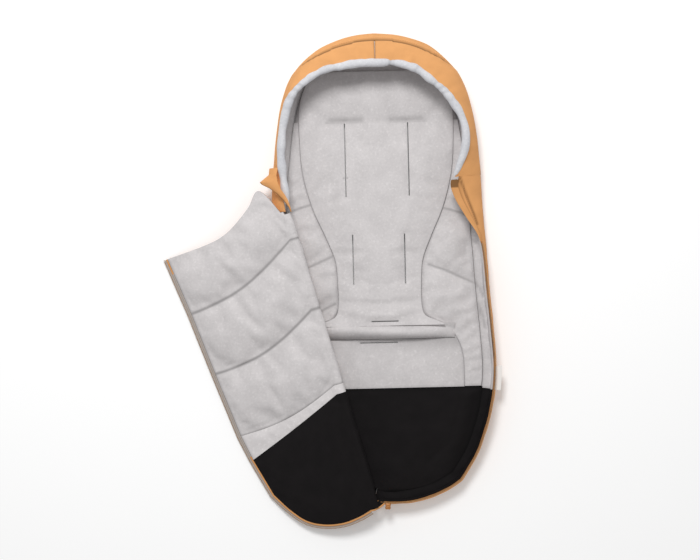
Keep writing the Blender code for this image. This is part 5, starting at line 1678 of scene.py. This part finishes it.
def zip_place(place, out, up):
    """A point beside the wall's top edge, given outwards and upwards."""
    edge, normal, slope = wall_frame(place, 1.0)
    return edge + normal * out + slope * up


# Zip: its tape and teeth beside the wall's top edge, and the slider's place on the toe arc
TAPE_OUT = 0.0009
TAPE_HALF = 0.0004
TAPE_WIDTH = 0.012
TEETH_RISE = 0.0075
TEETH_PITCH = 0.0026
TEETH_LENGTH = 0.0019
TEETH_RADIUS = 0.0016
SLIDER_START_DEG = -94.6
BAR_SIDES = 16


def make_body_zip():
    """Zip tape and teeth along the right wall's top edge, with stops and bottom box."""
    places = wall_places(ZIP_HEAD_SHARE, ZIP_TOE_SHARE, 0.0035)
    outs = (TAPE_OUT + TAPE_HALF, TAPE_OUT - TAPE_HALF)
    ups = (-0.0065, -0.002, 0.002, TAPE_WIDTH / 2)
    sides = [np.array([[zip_place(place, out, up) for up in ups] for place in places])
             for out in outs]
    tape = slab("zip_tape_right", *sides, LOOKS["tape"])
    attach(tape, "back")
    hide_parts("zip_tape_body")
    path = [zip_place(place, TAPE_OUT, TEETH_RISE) for place in places]
    teeth = beads("zip_teeth_right", [path], chosen().teeth_pitch, TEETH_LENGTH, TEETH_RADIUS,
                  LOOKS["teeth"])
    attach(teeth, "back")
    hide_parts("zip_teeth_body")
    for name, first, last, size, node in (
            ("zip_stop", ZIP_HEAD_SHARE - 0.0045, ZIP_HEAD_SHARE - 0.0005, 0.0019,
             "zip_top_stop"),
            ("zip_bottom_box", ZIP_TOE_SHARE + 0.0005, ZIP_TOE_SHARE + 0.0050, 0.0025,
             "zip_box")):
        centres = [zip_place(place, TAPE_OUT, TEETH_RISE)
                   for place in np.linspace(first, last, 8)]
        piece = capsule(name, centres, size)
        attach(piece, "back")
        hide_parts(node)


def path_sides(path):
    """Level and upward directions across a path that isn't upright."""
    along = np.gradient(path, axis=0)
    along /= np.linalg.norm(along, axis=1, keepdims=True)
    level = np.cross(along, (0.0, 0.0, 1.0))
    level /= np.linalg.norm(level, axis=1, keepdims=True)
    return level, np.cross(level, along)


def capsule(name, centres, radius, flat=1.0):
    """A lacquered bar along a path with rounded ends; flat squeezes its height."""
    points = np.array(centres)
    level, upright = path_sides(points)
    reach = np.linspace(-1.0, 1.0, len(points))
    radii = radius * (1 - 0.85 * np.abs(reach) ** 8) ** 0.5
    rings = round_rings(points, level, upright * flat, radii, BAR_SIDES)
    return roll(name, rings, LOOKS["slider"])


TOE_POINTS = 60
CORNER_POINTS = 9
EDGE_PITCH = 0.004
PIPING_SIDES = 14
TAPE_ROLL_RADIUS = 0.0019


def cover_edge():
    """Edge of the cover in its own frame, from the fold round the toe and up the zip edge."""
    points = [cover_point(0.0, across) for across in np.linspace(0.03, 1.0, TOE_POINTS)]
    points += [cover_point(row, 1.0) for row in cover_rows(0, 5, EDGE_PITCH)[1:]]
    points = np.array(points)
    along = np.gradient(points, axis=0)
    outs = np.stack((-along[:, 1], along[:, 0], np.zeros(len(points))), -1)
    outs /= np.linalg.norm(outs, axis=1, keepdims=True)
    return points, outs


def make_cover_trim():
    """Piping, zip tape and teeth along the cover's edge. The piping has the outer fabric's colour
    round the toe and at the far corner, and between them the grey of the zip tape, painted shade
    of the edge."""
    points, outs = cover_edge()
    ring = chosen().piping_radius + 0.0003
    upright = np.tile((0.0, 0.0, 1.0), (len(points), 1))
    radii = np.full(len(points), chosen().piping_radius)
    radii[TOE_POINTS:] = TAPE_ROLL_RADIUS
    centres = points + outs * ring + upright * 0.0012
    rings = round_rings(centres, outs, upright, radii, PIPING_SIDES)
    piping = roll("cover_piping", from_cover(rings), LOOKS["piping"])
    piping.data.materials.append(LOOKS["grey_tape"])
    caramel_end = TOE_POINTS + len(cover_rows(0, 1, EDGE_PITCH)) - 1
    corner = len(points) - CORNER_POINTS
    for polygon in piping.data.polygons:
        if caramel_end < min(polygon.vertices) // PIPING_SIDES < corner:
            polygon.material_index = 1
    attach(piping, "cover")
    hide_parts("cover_binding")
    first = 2 * ring
    reaches = (first - 0.001, first + 0.001, first + 0.003)
    upper = np.stack([points + outs * reach + upright * 0.0004 for reach in reaches], 1)
    lower = upper - np.array((0.0, 0.0, 0.0008))
    tape = slab("zip_tape_left", from_cover(upper), from_cover(lower), LOOKS["grey_tape"])
    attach(tape, "cover")
    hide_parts("zip_tape_cover")
    path = from_cover(points + outs * (first + 0.0042))
    teeth = beads("zip_teeth_left", [path], chosen().teeth_pitch, TEETH_LENGTH, TEETH_RADIUS * 0.9,
                  LOOKS["teeth"])
    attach(teeth, "cover")
    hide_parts("zip_teeth_cover")
    make_toe_corner()


TOE_CORNER_PATH = (
    (-0.0146, 0.0150, 0.0014), (-0.0156, 0.0080, 0.0006), (-0.0152, 0.0010, -0.0010),
    (-0.0142, -0.0050, -0.0060), (-0.0122, -0.0105, -0.0110), (-0.0100, -0.0150, -0.0140),
)


def make_toe_corner():
    """Piping and black lining that carry on from the cover's toe to the body's toe."""
    path = np.array(spline([Vector(point) for point in TOE_CORNER_PATH], 8))
    rings = round_rings(path, *path_sides(path),
                        np.full(len(path), chosen().piping_radius * 0.9), PIPING_SIDES)
    piping = roll("corner_piping", from_cover(rings), LOOKS["piping"])
    shares = np.linspace(0.0, 1.0, 8)[None, :, None]
    upper = path[:, None] + np.array((0.0125, 0.0, 0.0020)) * shares
    lining = slab("corner_lining", from_cover(upper + np.array((0.0, 0.0, 0.0008))),
                  from_cover(upper - np.array((0.0, 0.0, 0.0012))), LOOKS["black"])
    bend = np.array((0.0, 0.7071, 0.7071))
    ends = from_cover(np.array((bend * -0.006, bend * 0.009)))
    for piece in (piping, lining):
        tuple(ends[0])
        tuple(ends[1])
        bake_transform(piece)


PLATE_OFFSET = 0.0032
PLATE_RADIUS = 0.0033
PLATE_HALF_LENGTH = 0.0056
BRIDGE_RADIUS = 0.0018
BRIDGE_HALF_LENGTH = 0.0050


def make_slider():
    """Zip slider on the teeth at the toe, and its lacquered pull."""
    low, high = (Vector(corner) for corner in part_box("zip_slider"))
    angle = math.radians(SLIDER_START_DEG)
    out = Vector((math.cos(angle), math.sin(angle), 0.0))
    along = UP.cross(out)
    centre = Vector((TOE_ARC_X, TOE_ARC_Y, 0.0)) + out * (TOE_ARC_RADIUS + 0.001)
    plates = []
    for side in (-1, 1):
        middle = centre + out * side * PLATE_OFFSET
        line = [Vector((middle.x, middle.y, 0.0)) + along * reach + UP * (low.z + 0.0035)
                for reach in np.linspace(-PLATE_HALF_LENGTH, PLATE_HALF_LENGTH, 10)]
        plates.append(capsule("slider_plate", line, PLATE_RADIUS, 0.95))
    bridge = [centre + along * reach + UP * (high.z - 0.0012)
              for reach in np.linspace(-BRIDGE_HALF_LENGTH, BRIDGE_HALF_LENGTH, 8)]
    plates.append(capsule("slider_bridge", bridge, BRIDGE_RADIUS))
    slider = joined("slider_body", plates)
    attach(slider, "zip_slider")
    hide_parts("zip_slider")
    make_pull()


def joined(name, pieces):
    """Several mesh objects made one."""
    mesh = bpy.data.meshes.new(name)
    work = bmesh.new()
    for piece in pieces:
        work.from_mesh(piece.data)
    work.to_mesh(mesh)
    work.free()
    mesh.materials.append(pieces[0].data.materials[0])
    result = new_object(name, mesh)
    for piece in pieces:
        discard(piece)
    return result


PULL_RADIUS = 0.0032


def make_pull():
    """Pull that hangs from the slider: a lacquered drop over the solid's own place."""
    low, high = (Vector(corner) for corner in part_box("zip_pull"))
    middle = (low + high) / 2
    shares = np.linspace(0.0, 1.0, 24)
    points = np.array([Vector((middle.x, middle.y, low.z + (high.z - low.z) * share))
                       for share in shares])
    radii = (PULL_RADIUS * np.sin(math.pi * np.clip(0.06 + shares * 0.90, 0.0, 1.0)) ** 0.5
             * (1.0 - 0.55 * shares))
    first = np.tile((1.0, 0.0, 0.0), (len(points), 1))
    second = np.tile((0.0, 1.0, 0.0), (len(points), 1))
    pull = roll("lacquered_drop", round_rings(points, first, second * 0.55, radii, BAR_SIDES),
                LOOKS["slider"])
    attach(pull, "zip_pull")
    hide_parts("zip_pull")


# Corner flap: points of its seam edge, each with the point of its free edge beside it
FLAP_EDGES = (
    (-0.2150, 0.2070, 0.0540, -0.1975, 0.2080, 0.0700),
    (-0.2165, 0.1941, 0.0560, -0.2005, 0.1935, 0.0740),
    (-0.2349, 0.1795, 0.0560, -0.1985, 0.1800, 0.0750),
    (-0.2300, 0.1748, 0.0570, -0.1960, 0.1722, 0.0750),
    (-0.2152, 0.1671, 0.0620, -0.1915, 0.1632, 0.0750),
    (-0.2014, 0.1567, 0.0670, -0.1855, 0.1547, 0.0750),
    (-0.1897, 0.1445, 0.0700, -0.1790, 0.1432, 0.0740),
    (-0.1781, 0.1282, 0.0700, -0.1742, 0.1290, 0.0725),
    (-0.1740, 0.1190, 0.0690, -0.1722, 0.1192, 0.0710),
)


def make_hood_flap():
    """Corner flap of outer fabric at the hood's left end, with a hollow lower edge painted dark,
    as painted shade.
    """
    rows = []
    for first, second in zip(FLAP_EDGES, FLAP_EDGES[1:]):
        for share in (0.0, 0.25, 0.5, 0.75):
            rows.append([a + (b - a) * share for a, b in zip(first, second)])
    rows = np.array(rows + [FLAP_EDGES[-1]])
    shares = np.linspace(0.0, 1.0, 14)[None, :, None]
    upper = rows[:, None, :3] * (1 - shares) + rows[:, None, 3:] * shares
    upper[:, :, 2] += 0.0022 * np.sin(np.pi * shares[..., 0]) + 0.0008 * ripple(upper, 0.02, 61)
    lower = upper.copy()
    lower[:, :, 2] -= 0.0020
    down = np.arange(len(rows))[:, None] >= 8
    lengths = np.linalg.norm(upper - upper[:, :1], axis=2)
    edge = fading(lengths, 0.0026) * down
    piece = slab("corner_flap", upper, lower, LOOKS["outer"], 0.9 * edge)
    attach(piece, "back")
    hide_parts("hood_flap_left")
    sewn_sheet(upper)


PLACKET_HEAD_SHARE = 0.340
PLACKET_TOE_SHARE = 0.446
PLACKET_WIDTH = 0.0145


def make_placket():
    """Folded strip of outer fabric above the zip, open at its upper end."""
    places = wall_places(PLACKET_HEAD_SHARE, PLACKET_TOE_SHARE, 0.003)
    outer = []
    inner = []
    for place in places:
        share = (place - places[0]) / (places[-1] - places[0])
        width = PLACKET_WIDTH * (1 - 0.55 * share * share)
        point, normal, slope = wall_frame(place, 1.0)
        gap = 0.0016 * (1 - share) + 0.0004
        section = [(0.0, gap + 0.0008), (0.35, gap + 0.0012), (0.7, gap + 0.0010),
                   (0.93, gap * 0.8), (1.0, 0.0), (0.93, -gap * 0.8), (0.7, -gap - 0.0002),
                   (0.35, -gap), (0.12, -gap)]
        outer.append([tuple(point + slope * width * up + normal * (out - 0.0012))
                      for up, out in section])
        inner.append([tuple(point + slope * (width * up - 0.0009 * (up > 0.9))
                            + normal * (out * 0.45 - 0.0012)) for up, out in section])
    outer, inner = np.array(outer), np.array(inner)
    shade = np.zeros(outer.shape[:2])
    # Painted shade in its open upper end.
    shade[:6] = 1.0
    piece = slab("folded_placket", outer, inner, LOOKS["piping"], shade)
    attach(piece, "back")
    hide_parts("placket")
    sewn_sheet(outer)


TAG_RISE_SHARE = 0.90
TAG_LENGTH = 0.048
TAG_REACH = 0.0125
TAG_THICKNESS = 0.0009
TAG_DROOP = 0.0025


def make_tag():
    """Blank woven tag sewn into the right wall's zip seam."""
    half = TAG_LENGTH / 2 / OUTLINE_LENGTH
    upper = []
    for place in np.linspace(TAG_PLACE_SHARE - half, TAG_PLACE_SHARE + half, 20):
        edge, normal, _ = wall_frame(place, TAG_RISE_SHARE)
        upper.append([tuple(edge + normal * (0.0010 + TAG_REACH * share)
                            - UP * TAG_DROOP * share * share)
                      for share in np.linspace(0.0, 1.0, 8)])
    upper = np.array(upper)
    lower = upper - np.array((0.0, 0.0, TAG_THICKNESS))
    piece = slab("blank_tag", upper, lower, LOOKS["tag"])
    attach(piece, "back")
    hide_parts("side_tag")
    sewn_sheet(upper)


STITCH_PITCH = 0.0046
STITCH_LENGTH = 0.0030
STITCH_RADIUS = 0.00045
STITCH_BELOW_SEAM = 0.055
STITCH_RISE = 0.93


def wall_path(first, last, rise, depth):
    """Path over the wall's outer surface at one rise, or at a rise for each place."""
    path = []
    for place in wall_places(first, last, 0.003):
        level = rise(place) if callable(rise) else rise
        point, normal, _ = wall_frame(place, level)
        path.append(tuple(point - normal * depth))
    return path


def make_stitches():
    """Stitched rows along the outer seams of the hood and the wall."""
    paths = [
        wall_path(-HOOD_LEFT_SHARE + 0.01, HOOD_RIGHT_SHARE - 0.01,
                  lambda place: band_seam(place) - STITCH_BELOW_SEAM, 0.0002),
        wall_path(HOOD_RIGHT_SHARE + 0.02, 1.0, STITCH_RISE, 0.0),
    ]
    pitch = chosen().stitch_pitch
    piece = beads("caramel_stitches", paths, pitch, STITCH_LENGTH, STITCH_RADIUS,
                  LOOKS["thread"])
    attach(piece, "back")
    points, outs = cover_edge()
    inside = from_cover(points - outs * 0.0045 - np.array((0.0, 0.0, 0.0019)))
    inside[:, 2] = np.maximum(inside[:, 2], 0.0006)
    under = beads("cover_stitches", [inside], pitch, STITCH_LENGTH, STITCH_RADIUS,
                  LOOKS["thread"])
    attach(under, "cover")


FLOOR_SIZE = 6.0
FLOOR_LEVEL = -0.0004
LAMP_PLACE = (-0.34, 1.62, 2.66)
LAMP_TARGET = (-0.1, 0.0, 0.0)
LAMP_SIZE = 0.9


def make_floor(settings):
    """White floor that shows as pure white to the camera but keeps the soft shadow."""
    look, tree = new_look("white_paper")
    paper = add_node(tree, "ShaderNodeBsdfDiffuse", {"Color": colour("F9F9F9")})
    glow = add_node(tree, "ShaderNodeEmission", {"Color": (1.0, 1.0, 1.0, 1.0),
                                                 "Strength": settings.floor_glow})
    seen = add_node(tree, "ShaderNodeLightPath")
    share = add_node(tree, "ShaderNodeMixShader",
                     links={0: seen.outputs["Is Camera Ray"], 2: glow.outputs[0]})
    both = add_node(tree, "ShaderNodeAddShader", links={0: paper.outputs[0],
                                                        1: share.outputs[0]})
    finish_look(tree, both)
    mesh = bpy.data.meshes.new("floor")
    half = FLOOR_SIZE / 2
    mesh.from_pydata([(x, y, FLOOR_LEVEL) for x, y in (
        (-half, -half), (half, -half), (half, half), (-half, half))], [], [(0, 1, 2, 3)])
    mesh.materials.append(look)
    floor = new_object("floor", mesh)


def make_light(settings):
    """One large soft lamp from the head's left, and an even fill from all sides."""
    lamp = bpy.data.lights.new("window", "AREA")
    lamp.shape = "SQUARE"
    lamp.size = settings.lamp_size
    lamp.energy = settings.lamp_power
    window = new_object("window", lamp)
    window.location = LAMP_PLACE
    window.rotation_euler = (Vector(LAMP_TARGET) - Vector(LAMP_PLACE)).to_track_quat(
        "-Z", "Y").to_euler()
    world = bpy.data.worlds.new("soft_fill")
    world.use_nodes = True
    backdrop = world.node_tree.nodes["Background"]
    backdrop.inputs["Color"].default_value = (1.0, 1.0, 1.0, 1.0)
    backdrop.inputs["Strength"].default_value = settings.fill_strength
    bpy.context.scene.world = world


CAMERA_PLACE = (-0.0594, -0.0186, 4.04)
CAMERA_TURN_DEG = -1.335
CAMERA_LENS = 102.9


def make_camera():
    """Camera straight above, as the photograph was taken."""
    lens = bpy.data.cameras.new("camera")
    lens.sensor_width = 36.0
    lens.lens = CAMERA_LENS
    camera = new_object("camera", lens)
    camera.location = CAMERA_PLACE
    camera.rotation_euler = (0.0, 0.0, math.radians(CAMERA_TURN_DEG))
    bpy.context.scene.camera = camera
    bpy.context.scene.view_settings.view_transform = "Standard"


class FootmuffSettings(bpy.types.PropertyGroup):
    """Sizes and colours of the footmuff's looks."""

    outer_colour: bpy.props.FloatVectorProperty(
        name="Outer fabric", description="Colour of the outer canvas", subtype="COLOR",
        size=4, min=0.0, max=1.0, default=colour("E4A66B"))
    lining_colour: bpy.props.FloatVectorProperty(
        name="Lining", description="Colour of the fleece lining", subtype="COLOR",
        size=4, min=0.0, max=1.0, default=colour("CFCBCB"))
    foot_colour: bpy.props.FloatVectorProperty(
        name="Foot", description="Colour of the fabric at the feet", subtype="COLOR",
        size=4, min=0.0, max=1.0, default=colour("151213"))
    rim_radius: bpy.props.FloatProperty(
        name="Rim radius", description="Radius of the hood's rolled rim", min=0.004, max=0.012,
        default=RIM_RADIUS, subtype="DISTANCE", unit="LENGTH", precision=4)
    piping_radius: bpy.props.FloatProperty(
        name="Piping radius", description="Radius of the piping round the cover", min=0.001,
        max=0.003, default=BINDING_RADIUS, subtype="DISTANCE", unit="LENGTH", precision=4)
    teeth_pitch: bpy.props.FloatProperty(
        name="Teeth pitch", description="Distance from one zip tooth to the next", min=0.0022,
        max=0.006, default=TEETH_PITCH, subtype="DISTANCE", unit="LENGTH", precision=4)
    stitch_pitch: bpy.props.FloatProperty(
        name="Stitch pitch", description="Distance from one stitch to the next", min=0.0034,
        max=0.012, default=STITCH_PITCH, subtype="DISTANCE", unit="LENGTH", precision=4)
    lamp_size: bpy.props.FloatProperty(
        name="Lamp size", description="Side of the soft square lamp", min=0.1, max=4.0,
        default=LAMP_SIZE, subtype="DISTANCE", unit="LENGTH")
    lamp_power: bpy.props.FloatProperty(
        name="Lamp", description="Power of the soft lamp", subtype="POWER", default=60.0)
    fill_strength: bpy.props.FloatProperty(
        name="Fill", description="Strength of the even light from all sides", default=0.50)
    floor_glow: bpy.props.FloatProperty(
        name="Floor glow", description="Light that lifts the floor to white for the camera",
        default=0.10)


class FOOTMUFF_OT_back(bpy.types.Operator):
    """Outer fabric and quilting of the flat back."""

    bl_idname = "footmuff.back"
    bl_label = "Back"

    def execute(self, context):
        make_back()
        return {"FINISHED"}


class FOOTMUFF_OT_middle(bpy.types.Operator):
    """Fleece and black panels on the back."""

    bl_idname = "footmuff.middle"
    bl_label = "Seat, bolster and foot"

    def execute(self, context):
        make_seat_pad()
        make_crotch_bolster()
        make_leg_pad()
        make_foot_mat()
        return {"FINISHED"}


class FOOTMUFF_OT_flanks(bpy.types.Operator):
    """Quilted gussets beside the seat."""

    bl_idname = "footmuff.flanks"
    bl_label = "Gussets"

    def execute(self, context):
        make_flank(1, "right", LEG_FOOT_Y + 0.001, RIGHT_SEAMS)
        make_flank(-1, "left", ROLL_FOOT_Y, LEFT_SEAMS)
        return {"FINISHED"}


class FOOTMUFF_OT_walls(bpy.types.Operator):
    """Outer fabric and linings of both side walls."""

    bl_idname = "footmuff.walls"
    bl_label = "Side walls"

    def execute(self, context):
        make_right_wall()
        make_left_wall()
        return {"FINISHED"}


class FOOTMUFF_OT_hood(bpy.types.Operator):
    """Hood with its band, lining and rolled rim."""

    bl_idname = "footmuff.hood"
    bl_label = "Hood"

    def execute(self, context):
        make_hood_outer()
        make_hood_inner()
        make_rim()
        return {"FINISHED"}


class FOOTMUFF_OT_cover(bpy.types.Operator):
    """Quilted front cover, folded open."""

    bl_idname = "footmuff.cover"
    bl_label = "Front cover"

    def execute(self, context):
        make_cover_lining()
        make_cover_outer()
        return {"FINISHED"}


class FOOTMUFF_OT_cover_trim(bpy.types.Operator):
    """Piping, zip tape and teeth of the cover."""

    bl_idname = "footmuff.cover_trim"
    bl_label = "Cover trim"

    def execute(self, context):
        make_cover_trim()
        return {"FINISHED"}


class FOOTMUFF_OT_zip(bpy.types.Operator):
    """Zip of the body with its slider and pull."""

    bl_idname = "footmuff.zip"
    bl_label = "Zip"

    def execute(self, context):
        make_body_zip()
        make_slider()
        return {"FINISHED"}


class FOOTMUFF_OT_trim(bpy.types.Operator):
    """Corner flap, placket, tag and stitches."""

    bl_idname = "footmuff.trim"
    bl_label = "Trim"

    def execute(self, context):
        make_hood_flap()
        make_placket()
        make_tag()
        make_stitches()
        return {"FINISHED"}


class FOOTMUFF_OT_stage(bpy.types.Operator):
    """Floor, light and camera."""

    bl_idname = "footmuff.stage"
    bl_label = "Stage"

    def execute(self, context):
        settings = context.scene.footmuff
        make_floor(settings)
        make_light(settings)
        make_camera()
        return {"FINISHED"}


class FOOTMUFF_OT_looks(bpy.types.Operator):
    """Finishes of all the fabrics and trim."""

    bl_idname = "footmuff.looks"
    bl_label = "Finishes"

    def execute(self, context):
        make_looks(context.scene.footmuff)
        return {"FINISHED"}


BUILD_STEPS = (
    FOOTMUFF_OT_back, FOOTMUFF_OT_middle, FOOTMUFF_OT_flanks, FOOTMUFF_OT_walls,
    FOOTMUFF_OT_hood, FOOTMUFF_OT_cover, FOOTMUFF_OT_cover_trim, FOOTMUFF_OT_zip,
    FOOTMUFF_OT_trim,
)


class FOOTMUFF_PT_panel(bpy.types.Panel):
    """Sizes, colours and building steps of the footmuff."""

    bl_idname = "FOOTMUFF_PT_panel"
    bl_label = "Footmuff"
    bl_space_type = "VIEW_3D"
    bl_region_type = "UI"
    bl_category = "Footmuff"

    def draw(self, context):
        settings = context.scene.footmuff
        for name in FootmuffSettings.__annotations__:
            self.layout.prop(settings, name)
        self.layout.operator("footmuff.looks")
        for step in BUILD_STEPS:
            self.layout.operator(step.bl_idname)
        self.layout.operator("footmuff.stage")


CLASSES = (FootmuffSettings, FOOTMUFF_OT_looks) + BUILD_STEPS + (
    FOOTMUFF_OT_stage, FOOTMUFF_PT_panel)


def register():
    """Add the settings, the operators and the panel."""
    for item in CLASSES:
        bpy.utils.register_class(item)
    bpy.types.Scene.footmuff = bpy.props.PointerProperty(type=FootmuffSettings)


def unregister():
    """Take them away again."""
    del bpy.types.Scene.footmuff
    for item in reversed(CLASSES):
        bpy.utils.unregister_class(item)


def main():
    """Build the whole look."""
    register()
    bpy.ops.footmuff.looks()
    for step in BUILD_STEPS:
        getattr(bpy.ops.footmuff, step.bl_idname.split(".")[1])()
    bpy.ops.footmuff.stage()


if __name__ == "__main__":
    main()
